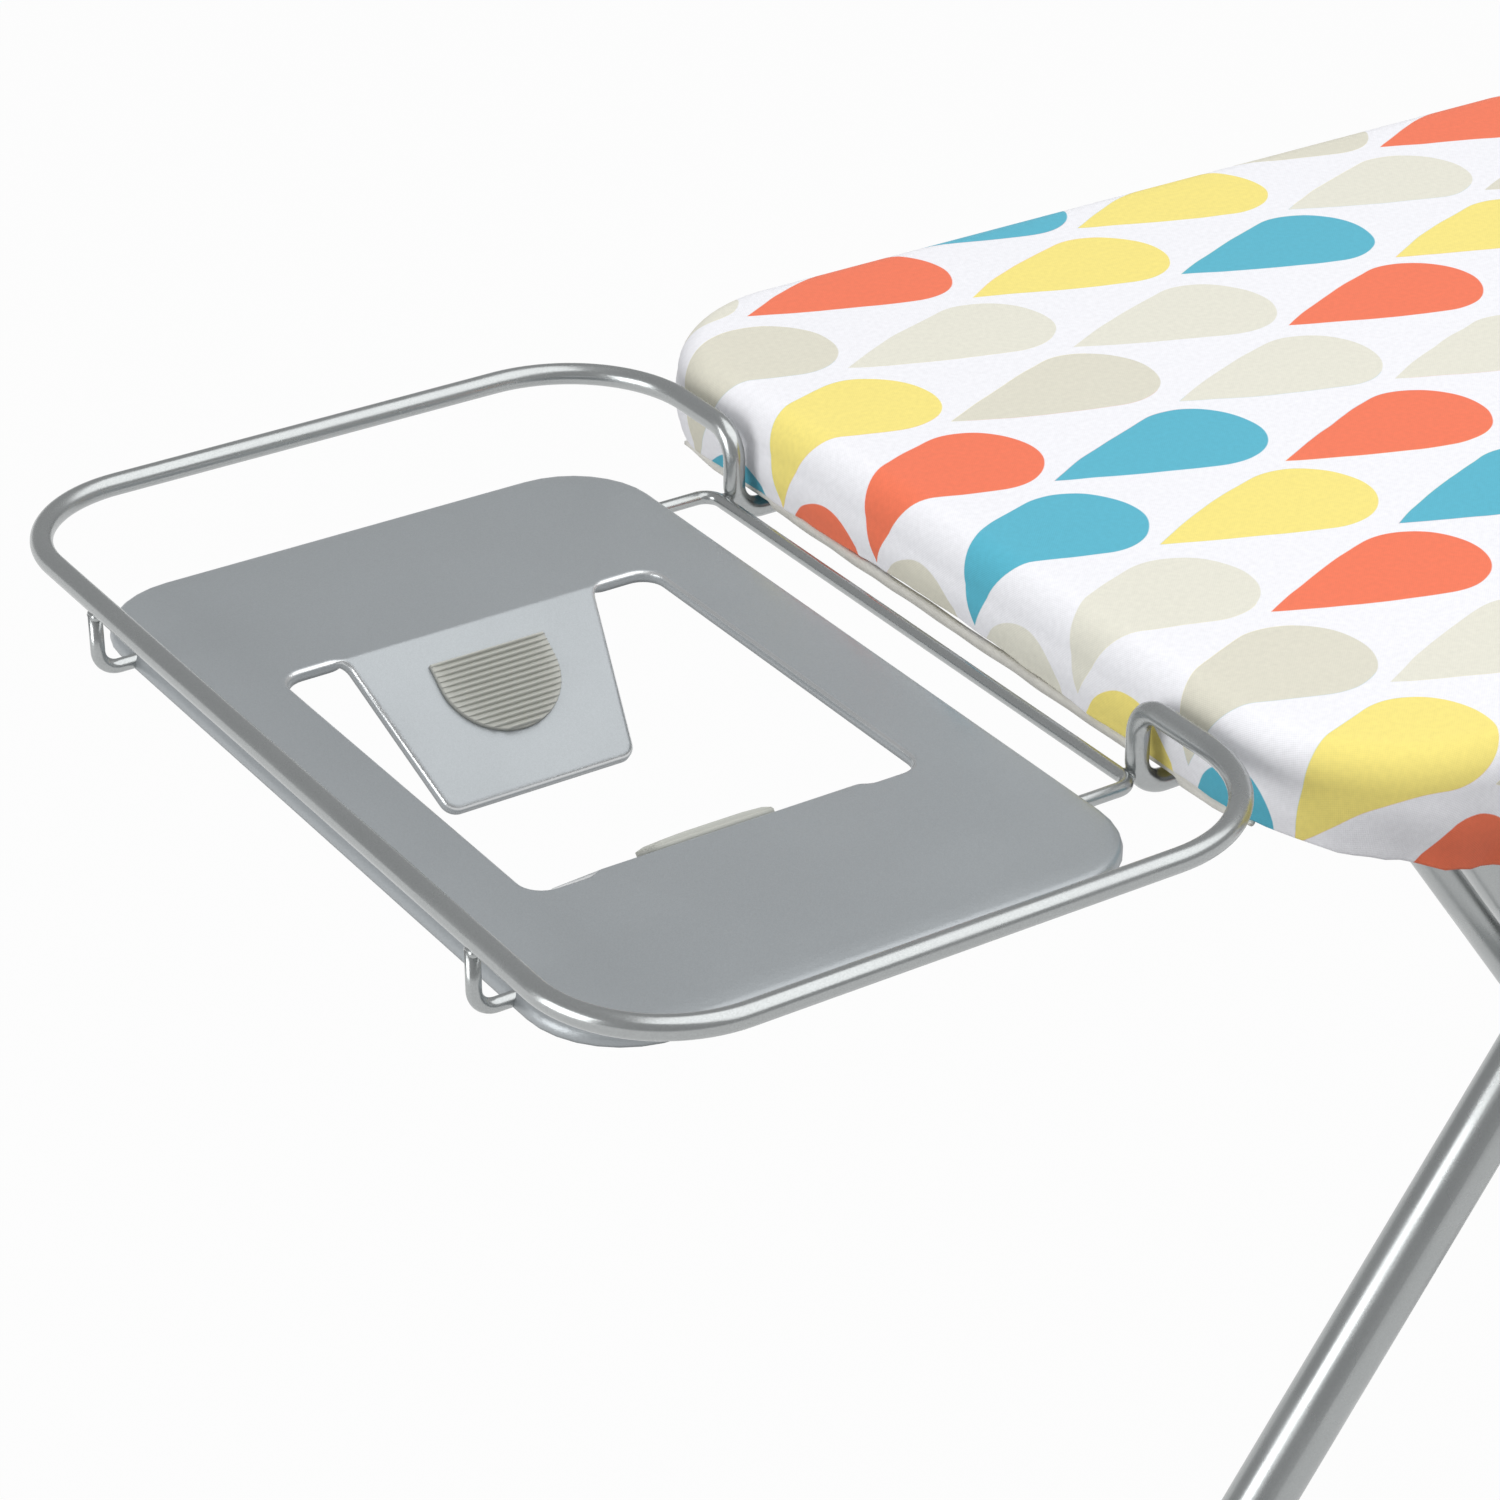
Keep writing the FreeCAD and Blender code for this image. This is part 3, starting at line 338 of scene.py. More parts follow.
@dataclass(frozen=True)
class DropPrint:
    """Rows of teardrops, half a step apart from column to column, on a plain ground.

    Sizes are millimetres on the flat cloth, and each string of the layout is one column's dyes.
    """

    column_pitch: float = 82.7
    row_pitch: float = 62.7
    first_column: float = 60.5
    first_row: float = 13.5
    offset_share: float = 0.46
    drop_length: float = 94.0
    drop_radius: float = 25.2
    flank_radius: float = 380.0
    slant: float = 0.012
    slant_row: float = -49.0
    pull: float = 11.5
    pull_row: float = -20.0
    pull_reach: float = 218.0
    softness: float = 0.28
    layout: tuple[str, ...] = ("TSCOY", "CCYTO", "COTYC", "TYCSO", "YCSOT", "OTSYC", "SOTYC", "OYSCT")

    def group(self) -> bpy.types.NodeTree:
        """Build the print as a node group from flat cloth position to dye colour and mask."""
        w, given, out = shader_group("teardrop_print", [("Cloth", "NodeSocketVector", None)],
                                     [("Colour", "NodeSocketColor"), ("Mask", "NodeSocketFloat")])
        flat = w.add("ShaderNodeSeparateXYZ")
        w.feed(flat.inputs[0], given["Cloth"])
        along = w.math("MULTIPLY", flat.outputs[0], 1.0 / MM)
        across = w.math("MULTIPLY", flat.outputs[1], 1.0 / MM)
        shifted = w.math("SUBTRACT", w.math("ADD", along, self._drawn(w, across)), self.first_column)
        column = w.math("FLOOR", w.math("DIVIDE", shifted, self.column_pitch))
        old_colour, old_mask = self._drop(w, shifted, across, w.math("SUBTRACT", column, 1.0))
        new_colour, new_mask = self._drop(w, shifted, across, column)
        w.feed(out.inputs["Colour"], w.mix(new_mask, old_colour, new_colour))
        w.feed(out.inputs["Mask"], w.math("MAXIMUM", old_mask, new_mask))
        return w.tree

    def _drawn(self, w: Wiring, across: Socket) -> Socket:
        """How far the cloth is drawn towards the tail at a row, where the cover is pulled on unevenly."""
        slant = w.math("MULTIPLY", w.math("SUBTRACT", across, self.slant_row), self.slant)
        past = w.math("MAXIMUM", w.math("SUBTRACT", across, self.pull_row), 0.0)
        share = w.math("DIVIDE", past, self.pull_reach)
        return w.math("MULTIPLY_ADD", w.math("MULTIPLY", share, share), self.pull, slant)

    def _drop(self, w: Wiring, shifted: Socket, across: Socket, column: Socket) -> tuple[Socket, Socket]:
        """Colour and mask of the nearest drop in one column: a round end and two wide arcs to the tip."""
        end, wide = self.drop_radius, self.flank_radius
        centre = self.drop_length - end
        arc_x = (2.0 * wide * end - end ** 2 + centre ** 2) / (2.0 * centre)
        arc_y = math.sqrt(wide ** 2 - arc_x ** 2)
        tangent = centre + end * (centre - arc_x) / (wide - end)
        xi = w.math("SUBTRACT", shifted, w.math("MULTIPLY", column, self.column_pitch))
        half_step = w.math("MULTIPLY", w.math("FLOORED_MODULO", column, 2.0), self.offset_share)
        raised = w.math("DIVIDE", w.math("SUBTRACT", across, self.first_row), self.row_pitch)
        steps = w.math("SUBTRACT", raised, half_step)
        row = w.math("FLOOR", w.math("ADD", steps, 0.5))
        eta = w.math("ABSOLUTE", w.math("MULTIPLY", w.math("SUBTRACT", steps, row), self.row_pitch))
        bulb = w.math("SUBTRACT", self._reach(w, w.math("SUBTRACT", xi, centre), eta), end)
        leaned = self._reach(w, w.math("SUBTRACT", xi, arc_x), w.math("ADD", eta, arc_y))
        flank = w.math("SUBTRACT", leaned, wide)
        distance = w.math("MINIMUM", bulb, w.math("MAXIMUM", flank, w.math("SUBTRACT", xi, tangent)))
        mask = w.math("SUBTRACT", 1.0, w.ramp(distance, -self.softness, self.softness))
        return self._dye(w, column, row), mask

    @staticmethod
    def _reach(w: Wiring, first: Socket, second: Socket) -> Socket:
        """Length of a plane vector."""
        squares = [w.math("MULTIPLY", side, side) for side in (first, second)]
        return w.math("SQRT", w.math("ADD", *squares))

    def _dye(self, w: Wiring, column: Socket, row: Socket) -> Socket:
        """Colour of the drop at a column and row."""
        place = w.math("FLOORED_MODULO", column, float(len(self.layout)))
        half = len(self.layout) // 2
        rows = len(self.layout[0])
        turn = w.math("FLOORED_MODULO", row, float(rows))
        start = w.math("MULTIPLY", w.math("FLOORED_MODULO", place, float(half)), float(rows))
        share = w.math("DIVIDE", w.math("ADD", w.math("ADD", start, turn), 0.5), float(half * rows))
        early, late = (self._table(w, share, columns) for columns in (self.layout[:half], self.layout[half:]))
        return w.mix(w.math("GREATER_THAN", place, half - 0.5), early, late)

    @staticmethod
    def _table(w: Wiring, share: Socket, columns: Sequence[str]) -> Socket:
        """Dyes of some columns, looked up by a share from 0 to 1."""
        letters = {"O": Dye.ORANGE, "Y": Dye.YELLOW, "T": Dye.TEAL, "S": Dye.STONE, "C": Dye.CREAM}
        order = "".join(columns)
        table = w.add("ShaderNodeValToRGB")
        table.color_ramp.interpolation = "CONSTANT"
        stops = table.color_ramp.elements
        stops[0].position = 0.0
        stops[0].color = letters[order[0]].value
        stops[1].position = 1.0 / len(order)
        stops[1].color = letters[order[1]].value
        for step in range(2, len(order)):
            stops.new(step / len(order)).color = letters[order[step]].value
        w.feed(table.inputs[0], share)
        return table.outputs[0]


@dataclass(frozen=True)
class PrintedCotton:
    """Plain-woven cotton with the teardrop print on its face."""

    name: str = "printed_cotton"
    ground: tuple[float, float, float, float] = linear(243, 243, 247)
    tone: float = 0.985
    slub_scale: float = 420.0
    slub_shade: float = 0.16
    thread: float = 0.55 * MM
    weave_hollow_shade: float = 0.06
    thread_relief: float = 0.35
    thread_depth: float = 0.00012
    crease_scale: tuple[float, float, float] = (9.0, 26.0, 1.0)
    crease_turn: float = 0.5
    crease_relief: float = 0.5
    crease_depth: float = 0.0012
    crumple_scale: float = 60.0
    crumple_share: float = 0.25
    waver_scale: float = 22.0
    waver: float = 0.004
    roughness: float = 0.86
    specular: float = 0.25
    sheen: float = 0.12
    sheen_roughness: float = 0.5
    pattern: DropPrint = field(default_factory=DropPrint)

    def build(self, effects: Effects) -> bpy.types.Material:
        """Make the material from the cloth's own flat coordinates."""
        made, w, shader = new_material(self.name)
        cloth = w.add("ShaderNodeUVMap", uv_map="cloth").outputs[0]
        drops = w.group(self.pattern.group(), {"Cloth": self._worn(w, cloth)}).outputs
        base = w.mix(drops["Mask"], self.ground, drops["Colour"])
        weave = w.group(self._weave(), {"Cloth": cloth, "Thread": self.thread}).outputs["Height"]
        slub = w.noise(cloth, self.slub_scale, 3.0)
        tone = w.math("MULTIPLY_ADD", w.math("SUBTRACT", slub, 0.5), self.slub_shade, self.tone)
        # Painted shade: where the weave dips between threads, the cloth is darker.
        tone = w.math("MULTIPLY_ADD", w.math("SUBTRACT", weave, 0.5), self.weave_hollow_shade, tone)
        threads = w.bump(self.thread_relief, self.thread_depth, weave)
        creases = w.bump(self.crease_relief, self.crease_depth, self._creases(w, cloth), threads)
        w.settle(shader, {"Base Color": w.scaled(base, tone), "Normal": creases, "Roughness": self.roughness,
                          "Specular IOR Level": self.specular, "Sheen Weight": self.sheen,
                          "Sheen Roughness": self.sheen_roughness})
        return made

    def _worn(self, w: Wiring, cloth: Socket) -> Socket:
        """Cloth position with the small waver that a print on soft cloth has."""
        waver = w.settle(w.add("ShaderNodeTexNoise"), {"Vector": cloth, "Scale": self.waver_scale})
        centred = w.add("ShaderNodeVectorMath", operation="SUBTRACT")
        w.feed(centred.inputs[0], waver.outputs["Color"])
        w.feed(centred.inputs[1], (0.5, 0.5, 0.5))
        moved = w.add("ShaderNodeVectorMath", operation="ADD")
        w.feed(moved.inputs[0], cloth)
        w.feed(moved.inputs[1], w.scaled(centred.outputs[0], self.waver))
        return moved.outputs[0]

    def _creases(self, w: Wiring, cloth: Socket) -> Socket:
        """Low soft creases of a cover pulled over a pad."""
        stretched = w.settle(w.add("ShaderNodeMapping"), {
            "Vector": cloth, "Rotation": (0.0, 0.0, self.crease_turn), "Scale": self.crease_scale})
        wide = w.noise(stretched.outputs[0], 1.0, 4.0)
        small = w.noise(cloth, self.crumple_scale, 3.0)
        return w.math("MULTIPLY_ADD", small, self.crumple_share, wide)

    @staticmethod
    def _weave() -> bpy.types.NodeTree:
        """Height of a plain weave, each thread over one and under one."""
        w, given, out = shader_group("plain_weave", [
            ("Cloth", "NodeSocketVector", None), ("Thread", "NodeSocketFloat", 0.0005)],
            [("Height", "NodeSocketFloat")])
        flat = w.add("ShaderNodeSeparateXYZ")
        w.feed(flat.inputs[0], given["Cloth"])
        turns = [w.math("MULTIPLY", w.math("DIVIDE", flat.outputs[axis], given["Thread"]), math.pi)
                 for axis in (0, 1)]
        over = w.math("MULTIPLY", w.math("SINE", turns[0]), w.math("SINE", turns[1]))
        w.feed(out.inputs["Height"], w.math("MULTIPLY_ADD", over, 0.5, 0.5))
        return w.tree


@dataclass(frozen=True)
class Felt:
    """Needled felt: short tangled fibres."""

    name: str = "needled_felt"
    colour: tuple[float, float, float, float] = linear(236, 234, 226)
    tone: float = 0.97
    fibre_scale: float = 900.0
    tuft_scale: float = 140.0
    tuft_shade: float = 0.22
    relief: float = 0.6
    depth: float = 0.0004
    roughness: float = 0.95
    sheen: float = 0.25

    def build(self, effects: Effects) -> bpy.types.Material:
        """Make the material."""
        made, w, shader = new_material(self.name)
        place = w.add("ShaderNodeTexCoord").outputs["Object"]
        fibres = w.noise(place, self.fibre_scale, 6.0)
        tufts = w.noise(place, self.tuft_scale, 3.0)
        tone = w.math("MULTIPLY_ADD", w.math("SUBTRACT", tufts, 0.5), self.tuft_shade, self.tone)
        w.settle(shader, {"Base Color": w.scaled(self.colour, tone), "Roughness": self.roughness,
                          "Normal": w.bump(self.relief, self.depth, w.math("ADD", fibres, tufts)),
                          "Sheen Weight": self.sheen})
        return made


class Palette:
    """Every finish of the object, built once, by the record's slot name."""

    def __init__(self) -> None:
        """Build the finishes."""
        effects = Effects()
        recipes: dict[str, Union[Finish, PrintedCotton, Felt]] = {
            "cotton_print": PrintedCotton(),
            "felt": Felt(),
            "deck_steel": Finish("deck_paint", linear(172, 176, 178), 0.55, (0.36, 0.46), 0.10),
            "frame_paint": Finish("frame_satin_paint", linear(173, 176, 176), 0.88, (0.25, 0.32), 0.14,
                                  relief=0.02, scuff_size=24.0),
            "rest_paint": Finish("rest_satin_paint", linear(173, 176, 176), 0.88, (0.23, 0.30), 0.14,
                                 relief=0.02, scuff_size=24.0),
            "plate_paint": Finish("plate_textured_paint", linear(164, 169, 172), 0.40, (0.34, 0.42), 0.10,
                                  coarse=620.0, fine=2200.0, relief=0.32, depth=0.0003, scuff_size=18.0,
                                  # lighter rim colour: a painted highlight on the rolled window edge
                                  rim_highlight_colour=linear(212, 214, 215)),
            "zinc_steel": Finish("zinc_plate", linear(184, 184, 180), 1.0, (0.3, 0.46), 0.2, 1600.0),
            "silicone": Finish("grey_silicone", linear(186, 187, 180), 0.0, (0.6, 0.72), 0.04, relief=0.12),
            "black_plastic": Finish("black_plastic", linear(44, 45, 47), 0.0, (0.42, 0.55), 0.05,
                                    relief=0.25, coarse=900.0, fine=2500.0),
            "nylon": Finish("natural_nylon", linear(222, 221, 212), 0.0, (0.4, 0.5), 0.03),
            "foot_rubber": Finish("foot_rubber", linear(58, 59, 61), 0.0, (0.68, 0.8), 0.06, relief=0.25),
        }
        self.made = {slot: recipe.build(effects) for slot, recipe in recipes.items()}

    def __getitem__(self, slot: str) -> bpy.types.Material:
        """The material of a record slot."""
        return self.made[slot]

    def dress_frame(self, frame: dict) -> None:
        """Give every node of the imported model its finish."""
        for part in frame["record"]["subparts"]:
            node = frame["nodes"][part["node"]]
            node.data.materials.clear()
            node.data.materials.append(self[part["material_slot"]])


# ------------------------------------------------------------------ mesh helpers
def new_piece(name: str, mesh: bpy.types.Mesh, material: bpy.types.Material) -> bpy.types.Object:
    """Put a mesh in the scene at the origin, smooth and with one material."""
    mesh.materials.clear()
    mesh.materials.append(material)
    mesh.shade_smooth()
    made = bpy.data.objects.new(name, mesh)
    bpy.context.scene.collection.objects.link(made)
    return made


def ring_mesh(name: str, rings: Sequence[Ring], flat: Optional[Flat] = None,
              cap_ends: bool = False) -> bpy.types.Mesh:
    """Join closed rings of points side by side.

    Args:
        name: the mesh's name.
        rings: rings with the same number of points.
        flat: each point's place on the flat cloth, where the mesh is cloth.
        cap_ends: close the first and the last ring.

    Returns:
        The mesh, with points that coincide merged.
    """
    made = bmesh.new()
    grid = [[made.verts.new(point) for point in ring] for ring in rings]
    layer = made.loops.layers.uv.new("cloth") if flat else None
    count = len(rings[0])
    for k in range(len(rings) - 1):
        for i in range(count):
            j = (i + 1) % count
            corners = ((k, i), (k + 1, i), (k + 1, j), (k, j))
            face = made.faces.new([grid[a][b] for a, b in corners])
            if layer:
                for loop, (a, b) in zip(face.loops, corners):
                    loop[layer].uv = flat[a][b]
    if cap_ends:
        made.faces.new(list(reversed(grid[0])))
        made.faces.new(grid[-1])
    bmesh.ops.remove_doubles(made, verts=made.verts, dist=MERGE)
    bmesh.ops.dissolve_degenerate(made, edges=made.edges, dist=SLIVER)
    mesh = bpy.data.meshes.new(name)
    made.to_mesh(mesh)
    made.free()
    return mesh


def recalculated(mesh: bpy.types.Mesh) -> bpy.types.Mesh:
    """Turn a closed mesh's faces outwards."""
    made = bmesh.new()
    made.from_mesh(mesh)
    bmesh.ops.recalc_face_normals(made, faces=made.faces)
    made.to_mesh(mesh)
    made.free()
    return mesh


def rounded_corner(before: Vector, corner: Vector, after: Vector, radius: float,
                   turn: Optional[float] = None) -> list[Vector]:
    """Points of the arc that rounds a corner.

    Args:
        before, corner, after: the corner and its neighbours on either side.
        radius: the arc's radius.
        turn: the largest angle between points, or None for a set number of steps.

    Returns:
        The points, in the direction from before to after.
    """
    back, ahead = (before - corner).normalized(), (after - corner).normalized()
    half = 0.5 * back.angle(ahead)
    centre = corner + (back + ahead).normalized() * (radius / math.sin(half))
    start = corner + back * (radius / math.tan(half)) - centre
    end = corner + ahead * (radius / math.tan(half)) - centre
    sweep = start.angle(end)
    steps = max(2, math.ceil(sweep / turn)) if turn else CORNER_STEPS
    made = []
    for step in range(steps + 1):
        share = step / steps
        mix = start * math.sin((1.0 - share) * sweep) + end * math.sin(share * sweep)
        made.append(centre + mix / math.sin(sweep))
    return made


def bent_line(points: Sequence[Vector], bends: Sequence[float], turn: float) -> list[Vector]:
    """Points of a line whose corners are rounded.

    Args:
        points: the line's corners.
        bends: the bend radius of each inner corner.
        turn: the largest angle between points on a bend.

    Returns:
        The points, closer together on the bends.
    """
    made = [points[0].copy()]
    for index, bend in enumerate(bends, start=1):
        made += rounded_corner(points[index - 1], points[index], points[index + 1], bend, turn)
    made.append(points[-1].copy())
    return made


def tube_mesh(name: str, line: Sequence[Vector], radius: float, sides: int) -> bpy.types.Mesh:
    """Round bar along a line, with flat ends."""
    rings = []
    upright = abs((line[1] - line[0]).normalized().z) >= 0.9
    aside = Vector((1.0, 0.0, 0.0)) if upright else Vector((0.0, 0.0, 1.0))
    for index, point in enumerate(line):
        ahead = line[min(index + 1, len(line) - 1)] - point
        back = point - line[max(index - 1, 0)]
        along = (ahead.normalized() + back.normalized()).normalized()
        aside = (aside - along * aside.dot(along)).normalized()
        other = along.cross(aside)
        rings.append([point + (aside * math.cos(a) + other * math.sin(a)) * radius
                      for a in (math.tau * s / sides for s in range(sides))])
    return recalculated(ring_mesh(name, rings, cap_ends=True))


def joined(name: str, pieces: Sequence[bpy.types.Mesh]) -> bpy.types.Mesh:
    """One mesh of several."""
    made = bmesh.new()
    for mesh in pieces:
        made.from_mesh(mesh)
    mesh = bpy.data.meshes.new(name)
    made.to_mesh(mesh)
    made.free()
    return mesh


def uneven(x: float, y: float, layer: float) -> float:
    """Smooth unevenness round zero, different on each layer."""
    return noise.noise(Vector((x, y, layer)))


# ------------------------------------------------------------------ repeats by Geometry Nodes
@dataclass(frozen=True)
class Spot:
    """Where one repeat sits, which way it points, and how long it is."""

    place: Vector
    along: Vector
    up: Vector
    span: float = 1.0


class Repeats:
    """A Geometry Nodes tree that sets one small unit at many spots."""

    def __init__(self) -> None:
        """Build the tree with named inputs."""
        tree = bpy.data.node_groups.new("unit_at_spots", "GeometryNodeTree")
        sockets = (("Geometry", "NodeSocketGeometry", "INPUT"), ("Unit", "NodeSocketObject", "INPUT"),
                   ("Size", "NodeSocketFloat", "INPUT"), ("Size Spread", "NodeSocketFloat", "INPUT"),
                   ("Seed", "NodeSocketInt", "INPUT"), ("Finish", "NodeSocketMaterial", "INPUT"),
                   ("Geometry", "NodeSocketGeometry", "OUTPUT"))
        for label, kind, side in sockets:
            tree.interface.new_socket(name=label, in_out=side, socket_type=kind)
        w = Wiring(tree)
        given, end = w.add("NodeGroupInput").outputs, w.add("NodeGroupOutput")
        along = w.settle(w.add("FunctionNodeAlignRotationToVector", axis="X"),
                         {"Vector": self._named(w, "along", "FLOAT_VECTOR")})
        turned = w.settle(w.add("FunctionNodeAlignRotationToVector", axis="Z", pivot_axis="X"),
                          {"Rotation": along.outputs[0], "Vector": self._named(w, "up", "FLOAT_VECTOR")})
        spread = w.add("FunctionNodeRandomValue", data_type="FLOAT")
        w.feed(spread.inputs[2], w.math("SUBTRACT", given["Size"], given["Size Spread"]))
        w.feed(spread.inputs[3], w.math("ADD", given["Size"], given["Size Spread"]))
        w.feed(spread.inputs["Seed"], given["Seed"])
        size = spread.outputs[1]
        scale = w.settle(w.add("ShaderNodeCombineXYZ"), {
            "X": w.math("MULTIPLY", self._named(w, "span", "FLOAT"), size), "Y": size, "Z": size})
        unit = w.settle(w.add("GeometryNodeObjectInfo"), {"Object": given["Unit"]})
        put = w.settle(w.add("GeometryNodeInstanceOnPoints"), {
            "Points": given["Geometry"], "Instance": unit.outputs["Geometry"],
            "Rotation": turned.outputs[0], "Scale": scale.outputs[0]})
        real = w.add("GeometryNodeRealizeInstances")
        w.feed(real.inputs[0], put.outputs[0])
        dressed = w.settle(w.add("GeometryNodeSetMaterial"), {
            "Geometry": real.outputs[0], "Material": given["Finish"]})
        w.feed(end.inputs[0], dressed.outputs[0])
        self.tree = tree

    @staticmethod
    def _named(w: Wiring, label: str, kind: str) -> Socket:
        """Read a named attribute of the spots."""
        node = w.add("GeometryNodeInputNamedAttribute", data_type=kind)
        node.inputs["Name"].default_value = label
        return next(s for s in node.outputs if s.enabled and s.name == "Attribute")

    def make(self, name: str, spots: Sequence[Spot], unit: bpy.types.Mesh, material: bpy.types.Material,
             spread: float = 0.0, seed: int = 7) -> bpy.types.Mesh:
        """Set a unit at every spot.

        Args:
            name: the result's name.
            spots: where the units go.
            unit: the unit's mesh, its length along X and its top along Z.
            material: the finish set on the result.
            spread: how much the units differ in size.
            seed: the seed of that spread.

        Returns:
            A plain mesh.
        """
        cloud = bpy.data.meshes.new(name + "_spots")
        cloud.from_pydata([spot.place for spot in spots], [], [])
        for label, kind in (("along", "FLOAT_VECTOR"), ("up", "FLOAT_VECTOR"), ("span", "FLOAT")):
            layer = cloud.attributes.new(label, kind, "POINT")
            for index, spot in enumerate(spots):
                value = getattr(spot, label)
                if kind == "FLOAT":
                    layer.data[index].value = value
                else:
                    layer.data[index].vector = value
        holder = bpy.data.objects.new(name + "_holder", cloud)
        template = bpy.data.objects.new(name + "_unit", unit)
        for thing in (holder, template):
            bpy.context.scene.collection.objects.link(thing)
        modifier = holder.modifiers.new("repeats", "NODES")
        modifier.node_group = self.tree
        given = {"Unit": template, "Size": 1.0, "Size Spread": spread, "Seed": seed, "Finish": material}
        for item in self.tree.interface.items_tree:
            if item.in_out == "INPUT" and item.name in given:
                modifier[item.identifier] = given[item.name]
        holder.update_tag()
        graph = bpy.context.evaluated_depsgraph_get()
        mesh = bpy.data.meshes.new_from_object(holder.evaluated_get(graph))
        mesh.name = name
        for thing in (holder, template):
            bpy.data.objects.remove(thing)
        return mesh


def capsule(length: float, width: float, height: float, sides: int = 6) -> bpy.types.Mesh:
    """Small rounded bar along X, for stitches, ribs and beads."""
    stations = (-0.5, -0.42, -0.25, 0.25, 0.42, 0.5)
    swell = (0.2, 0.75, 1.0, 1.0, 0.75, 0.2)
    rings = [[Vector((length * x, 0.5 * width * k * math.cos(a), 0.5 * height * k * math.sin(a)))
              for a in (math.tau * s / sides for s in range(sides))] for x, k in zip(stations, swell)]
    return recalculated(ring_mesh("capsule", rings, cap_ends=True))


# ------------------------------------------------------------------ board
@dataclass
class BoardShape:
    """Plan of the board: square tail with round corners, straight sides, tapering nose."""

    tail: float
    rim_length: float = 1.240
    rim_width: float = 0.450
    tail_corner: float = 0.063
    side_straight: float = 0.620
    nose_radius: float = 0.075
    cover_out: float = 0.005
    step: float = 0.005

    def side_radius(self) -> float:
        """Radius of the tapering side."""
        run = self.rim_length - self.nose_radius - self.side_straight
        half = 0.5 * self.rim_width
        return (run ** 2 + half ** 2 - self.nose_radius ** 2) / (2.0 * (half - self.nose_radius))

    def outline(self) -> Edge:
        """Points of the rim's outside, anticlockwise from above, each with its outward direction."""
        half = 0.5 * self.rim_width
        start = self.tail + self.cover_out
        big = self.side_radius()
        corner = Vector((start + self.tail_corner, half - self.tail_corner, 0.0))
        side = Vector((start + self.side_straight, half - big, 0.0))
        nose = Vector((start + self.rim_length - self.nose_radius, 0.0, 0.0))
        join = math.atan2(nose.y - side.y, nose.x - side.x)
        upper: Edge = []

        def turn(centre: Vector, radius: float, first: float, last: float) -> None:
            count = max(2, math.ceil(abs(last - first) * radius / self.step))
            for k in range(count):
                angle = first + (last - first) * k / count
                out = Vector((math.cos(angle), math.sin(angle), 0.0))
                upper.append((centre + out * radius, out))

        def run(first: Vector, last: Vector, out: Vector) -> None:
            count = max(2, math.ceil((last - first).length / self.step))
            upper.extend((first.lerp(last, k / count), out) for k in range(count))

        turn(nose, self.nose_radius, 0.0, join)
        turn(side, big, join, 0.5 * math.pi)
        run(Vector((side.x, half, 0.0)), Vector((corner.x, half, 0.0)), Vector((0.0, 1.0, 0.0)))
        turn(corner, self.tail_corner, 0.5 * math.pi, math.pi)
        run(Vector((start, corner.y, 0.0)), Vector((start, 0.0, 0.0)), Vector((-1.0, 0.0, 0.0)))
        middle = (Vector((start, 0.0, 0.0)), Vector((-1.0, 0.0, 0.0)))
        lower = [(Vector((p.x, -p.y, 0.0)), Vector((n.x, -n.y, 0.0))) for p, n in reversed(upper[1:])]
        return upper + [middle] + lower

    def spine(self, point: Vector) -> Vector:
        """The point of the board's middle line that a point of the outline faces."""
        low = self.tail + self.cover_out + 0.5 * self.rim_width
        high = self.tail + self.cover_out + self.rim_length - self.nose_radius
        return Vector((min(max(point.x, low), high), 0.0, 0.0))


